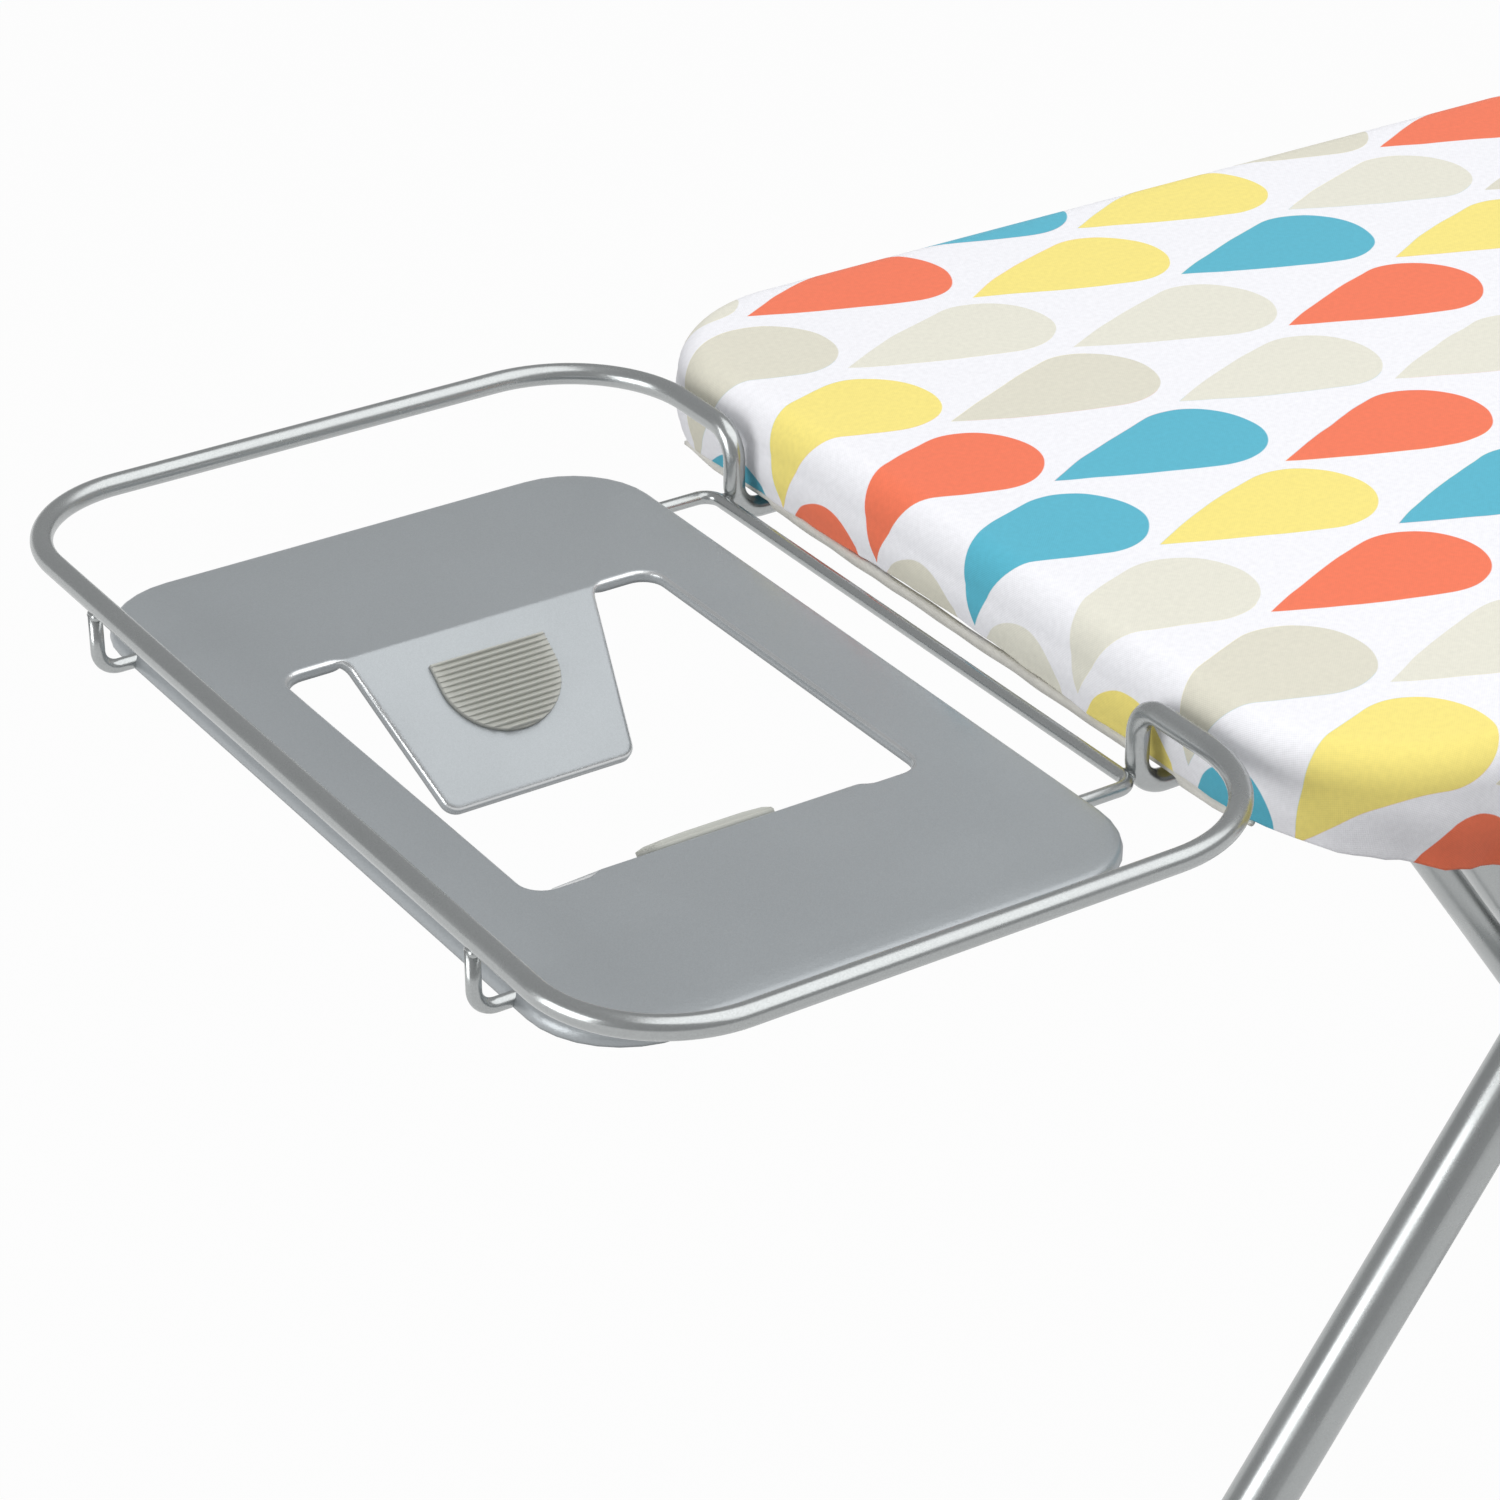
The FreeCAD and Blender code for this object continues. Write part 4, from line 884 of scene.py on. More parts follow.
@dataclass
class Cover:
    """Printed cotton cover, drawn over the pad and turned under the rim.

    Each gather is its turns per metre round the rim, its change on the way down, its layer of unevenness
    and its share of the depth.
    """

    shape: BoardShape
    top: float
    edge_in: float = 0.0140
    edge_down: float = 0.0150
    edge_steps: int = 12
    tail_drop: float = 0.0350
    tail_lift: float = 0.0035
    tail_lift_half: float = 0.07
    tail_facing: float = -0.9
    side_drop: float = 0.0490
    side_run: float = 0.068
    side_wander: float = 0.0012
    wander_scale: float = 9.0
    hang_steps: int = 9
    swell: float = 0.0012
    swell_end: float = 1.1
    pucker_depth: float = 0.0020
    pucker_rise: float = 1.2
    corner_pucker: float = 0.0022
    corner_place: float = 0.05
    corner_reach: float = 0.05
    tail_calm: float = 0.0017
    tail_reach: float = 0.03
    gathers: tuple[tuple[float, float, float, float], ...] = ((42.0, 0.7, 1.7, 1.5), (105.0, 1.1, 8.1, 0.9))
    hem_roll: float = 0.0016
    roll_steps: int = 4
    hem_width: float = 0.020
    hem_steps: int = 5
    hem_ripple: float = 0.0007
    ripple_scale: float = 75.0
    ripple_rise: float = 0.4
    hem_lift: float = 0.0012
    deep_drop: float = 0.037
    shallow_lift: float = 0.15
    seam_row: int = -3
    stitch_length: float = 0.0034
    stitch_width: float = 0.0007
    stitch_sink: float = 0.0003
    dip: float = 0.00035
    dip_scale: float = 12.0
    dip_fade: float = 5.0
    cloth: float = 0.0007
    top_rings: int = 20

    def drop(self, point: Vector, out: Vector) -> float:
        """How far the cover hangs below its top at a place on the outline."""
        run = (point.x - self.shape.tail - self.shape.cover_out) / self.side_run
        share = min(1.0, max(0.0, run))
        smooth = share * share * (3.0 - 2.0 * share)
        wander = self.side_wander * uneven(point.x * self.wander_scale, point.y * self.wander_scale, 3.0)
        faces_tail = out.x < self.tail_facing
        lift = self.tail_lift * math.exp(-(point.y / self.tail_lift_half) ** 2) if faces_tail else 0.0
        return self.tail_drop - lift + (self.side_drop - self.tail_drop) * smooth + wander * smooth

    def pucker(self, travel: float, point: Vector, down: float) -> float:
        """How far a gather stands out at a distance round the outline and a share of the way down."""
        from_tail = point.x - self.shape.tail
        tail = max(0.0, 1.0 - abs(from_tail) / self.tail_reach)
        corner = math.exp(-((from_tail - self.corner_place) / self.corner_reach) ** 2) * (1.0 - tail)
        depth = self.pucker_depth + self.corner_pucker * corner - self.tail_calm * tail
        folds = sum(share * uneven(travel * scale, down * lean, layer)
                    for scale, lean, layer, share in self.gathers)
        return depth * folds * down ** self.pucker_rise

    def profile(self, point: Vector, out: Vector, travel: float) -> Section:
        """Section at one place: distance outside the rim, height, and distance along the cloth."""
        start = self.shape.cover_out - self.edge_in
        made = [(start, self.top, 0.0)]
        reach = 0.0
        for k in range(1, self.edge_steps + 1):
            angle = 0.5 * math.pi * k / self.edge_steps
            place = start + self.edge_in * math.sin(angle)
            height = self.top - self.edge_down * (1.0 - math.cos(angle))
            reach += math.hypot(place - made[-1][0], height - made[-1][1])
            made.append((place, height, reach))
        fall = self.drop(point, out) - self.edge_down - self.hem_roll
        for k in range(1, self.hang_steps + 1):
            share = k / self.hang_steps
            swell = self.swell * math.sin(math.pi * min(1.0, share * self.swell_end))
            stand = swell + self.pucker(travel, point, share)
            hang = fall * share
            made.append((self.shape.cover_out + stand, self.top - self.edge_down - hang, reach + hang))
        reach += fall
        low_out, low_z, _ = made[-1]
        for k in range(1, self.roll_steps + 1):
            angle = 0.5 * math.pi * k / self.roll_steps
            made.append((low_out - self.hem_roll * (1.0 - math.cos(angle)),
                         low_z - self.hem_roll * math.sin(angle), reach + self.hem_roll * angle))
        reach += self.hem_roll * 0.5 * math.pi
        lifted = 1.0 if low_z < self.top - self.deep_drop else self.shallow_lift
        for k in range(1, self.hem_steps + 1):
            share = k / self.hem_steps
            wave = uneven(travel * self.ripple_scale, 4.4, 2.0) + self.ripple_rise
            ripple = self.hem_ripple * wave * share
            lift = ripple + self.hem_lift * share * lifted
            made.append((low_out - self.hem_roll - self.hem_width * share, low_z - self.hem_roll + lift,
                         reach + self.hem_width * share))
        return made

    def build(self, palette: Palette, repeats: Repeats) -> bpy.types.Object:
        """Make the cover and its hem's stitches.

        Args:
            palette: the finishes.
            repeats: the tree that sets the stitches.

        Returns:
            The cover.
        """
        outline = self.shape.outline()
        travel = [0.0]
        for (a, _), (b, _) in zip(outline, outline[1:]):
            travel.append(travel[-1] + (b - a).length)
        sections = [self.profile(p, n, t) for (p, n), t in zip(outline, travel)]
        rings: list[Ring] = []
        flat: list[list[tuple[float, float]]] = []
        inner = sections[0][0][0]
        for k in range(self.top_rings):
            share = k / self.top_rings
            ring = [self.shape.spine(p).lerp(p + n * inner, share) for p, n in outline]
            rings.append([Vector((q.x, q.y, self.top + self._dip(q, share))) for q in ring])
            flat.append([(q.x - self.shape.tail, q.y) for q in ring])
        for k in range(len(sections[0])):
            ring, cloth = [], []
            for (p, n), section in zip(outline, sections):
                out, height, along = section[k]
                spot = p + n * out
                ring.append(Vector((spot.x, spot.y, height)))
                base = p + n * (inner + along)
                cloth.append((base.x - self.shape.tail, base.y))
            rings.append(ring)
            flat.append(cloth)
        cover = new_piece("cover", ring_mesh("cover", rings, flat), palette["cotton_print"])
        wall = cover.modifiers.new("cloth", "SOLIDIFY")
        wall.thickness = self.cloth
        wall.offset = -1.0
        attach(cover, "board")
        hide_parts("cotton_cover")
        stitches = self._stitches(outline, sections, palette, repeats)
        return cover

    def _dip(self, q: Vector, share: float) -> float:
        """Slight unevenness of the padded top, none at its edge."""
        fade = min(1.0, (1.0 - share) * self.dip_fade)
        return -self.dip * fade * (0.5 + uneven(q.x * self.dip_scale, q.y * self.dip_scale, 0.3))

    @staticmethod
    def _area(outline: Edge, sections: Sequence[Section], inner: float) -> float:
        """Flat area of the cut cloth."""
        edge = [p + n * (inner + section[-1][2]) for (p, n), section in zip(outline, sections)]
        total = sum(a.x * b.y - b.x * a.y for a, b in zip(edge, edge[1:] + edge[:1]))
        return 0.5 * abs(total)

    def _stitches(self, outline: Edge, sections: Sequence[Section], palette: Palette,
                  repeats: Repeats) -> bpy.types.Object:
        """Row of lock stitches along the hem's underside."""
        spots = []
        for index, ((p, n), section) in enumerate(zip(outline, sections)):
            out, height, _ = section[self.seam_row]
            after, beyond = outline[(index + 1) % len(outline)]
            along = ((after + beyond * out) - (p + n * out)).normalized()
            spot = p + n * out
            place = Vector((spot.x, spot.y, height - self.stitch_sink))
            spots.append(Spot(place, along, Vector((0.0, 0.0, -1.0))))
        stitch = capsule(self.stitch_length, self.stitch_width, self.stitch_width)
        mesh = repeats.make("hem_stitches", spots, stitch, palette["felt"])
        made = new_piece("hem_stitches", mesh, palette["felt"])
        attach(made, "board")
        return made


@dataclass
class Underlay:
    """Felt pad on the deck, with an edge that shows below the cover at the tail."""

    shape: BoardShape
    low: float
    high: float
    edge_in: float
    edge_down: float
    skin: float = 0.0012
    edge_steps: int = 8
    lip_depth: float = 0.0040
    lip_wall: float = 0.0024
    lip_half: float = 0.178
    lip_in: float = 0.0042
    lip_tuck: float = 0.0006
    lip_lean: float = 0.0002
    lip_round: float = 0.3
    lip_steps: int = 120
    lip_fade: float = 9.0
    lip_end: float = 0.35
    lip_ragged: float = 0.0004
    ragged_scale: float = 60.0
    lip_wander: float = 0.0006
    lip_wander_scale: float = 40.0
    rail_y: float = 0.1275
    rail_room: float = 0.011
    rail_squash: float = 0.45

    def build(self, palette: Palette, hem: float) -> bpy.types.Object:
        """Make the pad.

        Args:
            palette: the finishes.
            hem: height of the cover's underside at the tail.

        Returns:
            The pad.
        """
        outline = self.shape.outline()
        across, down = self.edge_in - self.skin, self.edge_down - self.skin
        start = self.shape.cover_out - self.edge_in
        last = math.acos(max(0.0, (self.low - self.high + down) / down))
        rings: list[Ring] = [[self._at(p, n, start, share, self.high) for p, n in outline]
                             for share in (0.0, 0.35, 0.7, 0.93)]
        for k in range(self.edge_steps + 1):
            angle = last * k / self.edge_steps
            out, height = start + across * math.sin(angle), self.high - down * (1.0 - math.cos(angle))
            rings.append([Vector((p.x + n.x * out, p.y + n.y * out, height)) for p, n in outline])
        rings += [[self._at(p, n, start, share, self.low) for p, n in outline] for share in (0.93, 0.6, 0.0)]
        body = recalculated(ring_mesh("underlay", rings))
        made = new_piece("underlay", joined("underlay", [body, self._lip(hem)]), palette["felt"])
        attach(made, "board")
        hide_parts("underlay_pad")
        return made

    def _at(self, point: Vector, out: Vector, start: float, share: float, height: float) -> Vector:
        """A point between the middle line and the start of the pad's rounded edge."""
        place = self.shape.spine(point).lerp(point + out * start, share)
        return Vector((place.x, place.y, height))

    def _lip(self, hem: float) -> bpy.types.Mesh:
        """The felt's cut edge, showing below the cover's tail."""
        start = self.shape.tail + self.shape.cover_out
        rings = []
        for k in range(self.lip_steps + 1):
            y = self.lip_half * (2.0 * k / self.lip_steps - 1.0)
            fade = min(1.0, (1.0 - abs(y) / self.lip_half) * self.lip_fade)
            room = 1.0 if abs(abs(y) - self.rail_y) > self.rail_room else self.rail_squash
            depth = self.lip_depth * (self.lip_end + (1.0 - self.lip_end) * fade) * room
            depth += self.lip_ragged * uneven(y * self.ragged_scale, 0.0, 0.0)
            front = start - self.lip_in + self.lip_wander * uneven(y * self.lip_wander_scale, 5.0, 0.0)
            back = front + self.lip_wall
            round_off = self.lip_round * self.lip_wall
            tucked = hem + self.lip_tuck
            corners = [(front, tucked), (front - self.lip_lean, hem - 0.5 * depth),
                       (front + self.lip_lean, hem - depth + round_off), (front + round_off, hem - depth),
                       (back - round_off, hem - depth), (back, hem - depth + round_off), (back, tucked)]
            rings.append([Vector((x, y, z)) for x, z in corners])
        return recalculated(ring_mesh("lip", rings, cap_ends=True))


@dataclass
class Deck:
    """Steel deck, punched with round holes inside a plain border."""

    shape: BoardShape
    low: float
    high: float
    pitch: float = 0.0170
    hole: float = 0.0053
    border: float = 0.030
    cell_room: float = 0.55
    skirt: float = 0.0002

    def build(self, palette: Palette, repeats: Repeats) -> bpy.types.Object:
        """Make the deck: a border ring and one perforated cell at every spot inside it."""
        outline = self.shape.outline()
        inset = self.border
        loops = [(0.0, self.high), (-inset, self.high), (-inset, self.low), (0.0, self.low), (0.0, self.high)]
        border = ring_mesh("deck_border", [[Vector((p.x + n.x * out, p.y + n.y * out, z)) for p, n in outline]
                                           for out, z in loops])
        edge = [p + n * -(inset - self.cell_room * self.pitch) for p, n in outline]
        cells = repeats.make("deck_cells", self._spots(edge), self._cell(), palette["deck_steel"])
        made = new_piece("deck", joined("deck", [recalculated(border), cells]), palette["deck_steel"])
        made.data.shade_flat()
        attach(made, "board")
        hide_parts("deck_sheet")
        return made

    def _spots(self, edge: Sequence[Vector]) -> list[Spot]:
        """Cell centres that lie inside the border."""
        rise = self.pitch * math.sqrt(3.0) / 2.0
        low_x = min(p.x for p in edge)
        high_x = max(p.x for p in edge)
        high_y = max(p.y for p in edge)
        rows = int(high_y / rise) + 1
        columns = int((high_x - low_x) / self.pitch) + 2
        made = []
        middle = 0.5 * (self.low + self.high)
        for row in range(-rows, rows + 1):
            for column in range(columns):
                x = low_x + self.pitch * (column + 0.5 * (row % 2))
                if self._inside(x, row * rise, edge):
                    made.append(Spot(Vector((x, row * rise, middle)), Vector((1, 0, 0)), Vector((0, 0, 1))))
        return made

    @staticmethod
    def _inside(x: float, y: float, edge: Sequence[Vector]) -> bool:
        """Whether a point lies inside a closed line."""
        odd = False
        for a, b in zip(edge, list(edge[1:]) + [edge[0]]):
            if (a.y > y) != (b.y > y) and x < (b.x - a.x) * (y - a.y) / (b.y - a.y) + a.x:
                odd = not odd
        return odd

    def _cell(self) -> bpy.types.Mesh:
        """Six-sided cell with one round hole."""
        half = 0.5 * (self.high - self.low) - self.skirt
        outer_r = self.pitch / math.sqrt(3.0)
        rings = []
        for radius, height in ((None, half), (self.hole, half), (self.hole, -half), (None, -half)):
            ring = []
            for step in range(12):
                angle = math.radians(30.0 * step + 30.0)
                reach = radius or outer_r * (1.0 if step % 2 == 0 else math.cos(math.radians(30.0)))
                ring.append(Vector((reach * math.cos(angle), reach * math.sin(angle), height)))
            rings.append(ring)
        made = ring_mesh("cell", rings + [rings[0]])
        return recalculated(made)


# ------------------------------------------------------------------ iron rest
@dataclass
class RestPlate:
    """Pressed steel plate with a window, rolled edges and two sloping tongues with ribbed pads."""

    tail: float
    top: float
    x_range: tuple[float, float] = (-0.2635, -0.0364)
    width: float = 0.361
    corner: float = 0.036
    roll: float = 0.0040
    crown_in: float = 0.0115
    crown_drop: float = 0.0006
    skirt: float = 0.0058
    sheet: float = 0.0012
    window: tuple[float, float] = (-0.2276, -0.0714)
    window_half: float = 0.0885
    window_corner: float = 0.009
    window_roll: float = 0.0022
    window_border: float = 0.0006
    lip: float = 0.0044
    # Rings of the window's rolled edge that take the plate paint's lighter rim colour, a painted highlight.
    highlight_rings: tuple[int, int] = (6, 8)
    root: tuple[float, float] = (-0.2018, -0.0963)
    end: tuple[float, float] = (-0.1908, -0.1130)
    length: float = 0.0694
    root_fillet: float = 0.0070
    end_corner: float = 0.0060
    slope: float = math.radians(36.0)
    bend: float = 0.0030
    bend_room: float = 0.012
    edge_step: float = 0.008
    pad_half: float = 0.0238
    pad_from_root: float = 0.0132
    pad_height: float = 0.0339
    pad_shoulder: float = 0.0118
    pad_base: float = 0.0018
    pad_inset: float = 0.0009
    pad_edge: tuple[tuple[float, float], ...] = ((0.0, 0.0), (0.0, 0.0014), (0.0003, 0.0018))
    pad_arc_steps: int = 32
    pad_side_steps: int = 8
    rib_width: float = 0.0013
    rib_rise: float = 0.0036
    rib_unit: float = 0.02
    ribs: int = 15

    def fold(self, x: float, y: float, h: float) -> Vector:
        """Place a point of the flat pattern, h above its face, once the tongues are bent down."""
        side = 1.0 if y > 0.0 else -1.0
        past = self.window_half - abs(y)
        tongue = self.root[0] - self.bend_room < x < self.root[1] + self.bend_room
        if past <= 0.0 or not tongue:
            return Vector((self.tail + x, y, self.top + h))
        arc = self.bend * self.slope
        turned = min(past / self.bend, self.slope)
        beyond = max(0.0, past - arc)
        along = self.bend * math.sin(turned) + beyond * math.cos(self.slope) + h * math.sin(turned)
        down = self.bend * (1.0 - math.cos(turned)) + beyond * math.sin(self.slope)
        height = self.top - down + h * math.cos(turned)
        return Vector((self.tail + x, side * (self.window_half - along), height))

    def loop(self, corners: Sequence[tuple[float, float, float]]) -> Edge:
        """Rounded closed line with the direction to its right at each point.

        Args:
            corners: x, y and radius of each corner, in order.

        Returns:
            Points and unit directions, close together along the line.
        """
        made: list[Vector] = []
        spots = [Vector((x, y, 0.0)) for x, y, _ in corners]
        for index, (_, _, radius) in enumerate(corners):
            made += rounded_corner(spots[index - 1], spots[index], spots[(index + 1) % len(spots)], radius)
        dense: list[Vector] = []
        for a, b in zip(made, made[1:] + made[:1]):
            pieces = max(1, math.ceil((b - a).length / self.edge_step))
            dense.extend(a.lerp(b, k / pieces) for k in range(pieces))
        out = []
        for index, point in enumerate(dense):
            along = (dense[(index + 1) % len(dense)] - dense[index - 1]).normalized()
            out.append((point, Vector((along.y, -along.x, 0.0))))
        return out

    def _outer(self) -> Edge:
        """Plate outline, anticlockwise, with outward directions."""
        half, (x0, x1), r = 0.5 * self.width, self.x_range, self.corner
        return self.loop([(x1, half, r), (x0, half, r), (x0, -half, r), (x1, -half, r)])

    def _inner(self) -> Edge:
        """Window outline with both tongues, clockwise, with directions into the window."""
        half, (x0, x1), corner = self.window_half, self.window, self.window_corner
        tip = half - self.length
        tongue = [(self.root[0], half, self.root_fillet), (self.end[0], tip, self.end_corner),
                  (self.end[1], tip, self.end_corner), (self.root[1], half, self.root_fillet)]
        mirrored = [(x, -y, radius) for x, y, radius in reversed(tongue)]
        return self.loop([(x0, half, corner)] + tongue + [(x1, half, corner), (x1, -half, corner)]
                         + mirrored + [(x0, -half, corner)])

    @staticmethod
    def _rolled(edge: Edge, roll: float, depth: float, crown_in: float, crown_drop: float) -> list[Ring]:
        """Rings from the flat face over its falling border, a rolled edge and down its lip.

        Args:
            edge: the outline and its directions, in the flat pattern.
            roll: radius of the rolled edge.
            depth: depth of the lip below the face.
            crown_in: where the border starts to fall, inside the outline.
            crown_drop: how far it falls before the roll.

        Returns:
            The rings, from the face outwards.
        """
        falls, turns = 4, 5
        fall = [(crown_in + (roll - crown_in) * k / falls, -crown_drop * (k / falls) ** 2)
                for k in range(falls + 1)]
        steps = fall + [(roll * (1.0 - math.sin(a)), -crown_drop - roll * (1.0 - math.cos(a)))
                        for a in (0.5 * math.pi * k / turns for k in range(1, turns + 1))]
        steps.append((0.0, -depth))
        return [[Vector((p.x - n.x * inset, p.y - n.y * inset, z)) for p, n in edge] for inset, z in steps]

    def build(self, palette: Palette, repeats: Repeats) -> bpy.types.Object:
        """Make the plate and its two pads."""
        outer = self._rolled(self._outer(), self.roll, self.skirt, self.crown_in, self.crown_drop)
        inner = self._rolled(self._inner(), self.window_roll, self.lip,
                             self.window_roll + self.window_border, 0.0)
        made = bmesh.new()
        # Marks the window's rolled edge for the lighter rim colour, a painted highlight.
        highlight_mark = made.verts.layers.float.new("rolled")
        for rings in (outer, inner):
            grid = [[made.verts.new(point) for point in ring] for ring in rings]
            if rings is inner:
                for vertex in (v for ring in grid[self.highlight_rings[0]:self.highlight_rings[1]] for v in ring):
                    vertex[highlight_mark] = 1.0
            for k in range(len(rings) - 1):
                for i in range(len(rings[0])):
                    j = (i + 1) % len(rings[0])
                    made.faces.new((grid[k][i], grid[k + 1][i], grid[k + 1][j], grid[k][j]))
        made.verts.ensure_lookup_table()
        rim = [edge for edge in made.edges if len(edge.link_faces) == 1
               and all(abs(v.co.z) < SLIVER for v in edge.verts)]
        bmesh.ops.triangle_fill(made, use_beauty=True, edges=rim, normal=Vector((0.0, 0.0, 1.0)))
        arc = self.bend * self.slope
        for past in (0.0, 0.25 * arc, 0.5 * arc, 0.75 * arc, arc, 0.35 * self.length, 0.7 * self.length):
            for side in (-1.0, 1.0):
                line = Vector((0.0, side * (self.window_half - past), 0.0))
                everything = made.verts[:] + made.edges[:] + made.faces[:]
                bmesh.ops.bisect_plane(made, geom=everything, plane_co=line, plane_no=Vector((0.0, 1.0, 0.0)))
        for vertex in made.verts:
            vertex.co = self.fold(vertex.co.x, vertex.co.y, vertex.co.z)
        bmesh.ops.remove_doubles(made, verts=made.verts, dist=MERGE)
        bmesh.ops.recalc_face_normals(made, faces=made.faces)
        flat = [face for face in made.faces if abs(face.calc_center_median().z - self.top) < MERGE]
        if sum(face.normal.z * face.calc_area() for face in flat) < 0.0:
            bmesh.ops.reverse_faces(made, faces=made.faces)
        mesh = bpy.data.meshes.new("rest_pan")
        made.to_mesh(mesh)
        made.free()
        plate = new_piece("rest_pan", mesh, palette["plate_paint"])
        wall = plate.modifiers.new("sheet", "SOLIDIFY")
        wall.thickness = self.sheet
        wall.offset = -1.0
        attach(plate, "board")
        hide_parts("rest_plate")
        for name, side in (("near", -1.0), ("far", 1.0)):
            self._pad(name, side, palette, repeats)
        return plate

    def _pad(self, name: str, side: float, palette: Palette, repeats: Repeats) -> bpy.types.Object:
        """Pad with a straight edge towards the root and a round one below, and ribs across it."""
        middle = 0.5 * (self.root[0] + self.root[1])
        outline = self._pad_outline()
        centre = self.pad_from_root + 0.5 * self.pad_height
        rings = []
        for inset, height in self.pad_edge + ((self.pad_inset, self.pad_base),):
            share = inset / self.pad_half
            rings.append([self._on_tongue(middle, x * (1.0 - share), t + (centre - t) * share, height, side)
                          for x, t in outline])
        body = recalculated(ring_mesh("pad_body", rings, cap_ends=True))
        spots = []
        for index in range(self.ribs):
            down = self.pad_from_root + self.pad_height * (index + 0.5) / self.ribs
            half = self._pad_half_at(down)
            place = self._on_tongue(middle, 0.0, down, self.pad_base, side)
            above = self._on_tongue(middle, 0.0, down, self.pad_base + MM, side)
            spots.append(Spot(place, Vector((1.0, 0.0, 0.0)), (above - place).normalized(),
                              2.0 * half / self.rib_unit))
        rib = capsule(self.rib_unit, self.rib_width, self.rib_rise, 10)
        ribs = repeats.make("pad_ribs", spots, rib, palette["silicone"])
        label = "ribbed_pad_" + name
        made = new_piece(label, joined(label, [body, ribs]), palette["silicone"])
        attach(made, "board")
        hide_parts("grip_pad_" + name)
        return made

    def _on_tongue(self, middle: float, x: float, down: float, height: float, side: float) -> Vector:
        """A point on a tongue from its place in the flat pattern."""
        return self.fold(middle + x, side * (self.window_half - down), height)

    def _pad_arc(self) -> tuple[float, float]:
        """Centre, measured down the tongue, and radius of the pad's round edge."""
        rise = self.pad_height - self.pad_shoulder
        radius = (self.pad_half ** 2 + rise ** 2) / (2.0 * rise)
        return self.pad_from_root + self.pad_height - radius, radius

    def _pad_half_at(self, down: float) -> float:
        """Half width of the pad at a distance down the tongue."""
        centre, radius = self._pad_arc()
        if down < self.pad_from_root + self.pad_shoulder:
            return self.pad_half
        least = 1e-9
        return min(self.pad_half, math.sqrt(max(least, radius ** 2 - (down - centre) ** 2)))

    def _pad_outline(self) -> list[tuple[float, float]]:
        """Pad outline: straight top, short straight sides, round bottom."""
        centre, radius = self._pad_arc()
        corner = math.asin(min(1.0, self.pad_half / radius))
        if self.pad_from_root + self.pad_shoulder < centre:
            corner = math.pi - corner
        half, top = self.pad_half, self.pad_from_root
        middle = top + 0.5 * self.pad_shoulder
        made = [(half, top), (half, middle)]
        for step in range(self.pad_arc_steps + 1):
            angle = corner * (1.0 - 2.0 * step / self.pad_arc_steps)
            made.append((radius * math.sin(angle), centre + radius * math.cos(angle)))
        made += [(-half, middle), (-half, top)]
        made += [(half * (1.0 - 2.0 * k / self.pad_side_steps) * -1.0, top)
                 for k in range(1, self.pad_side_steps)]
        return made


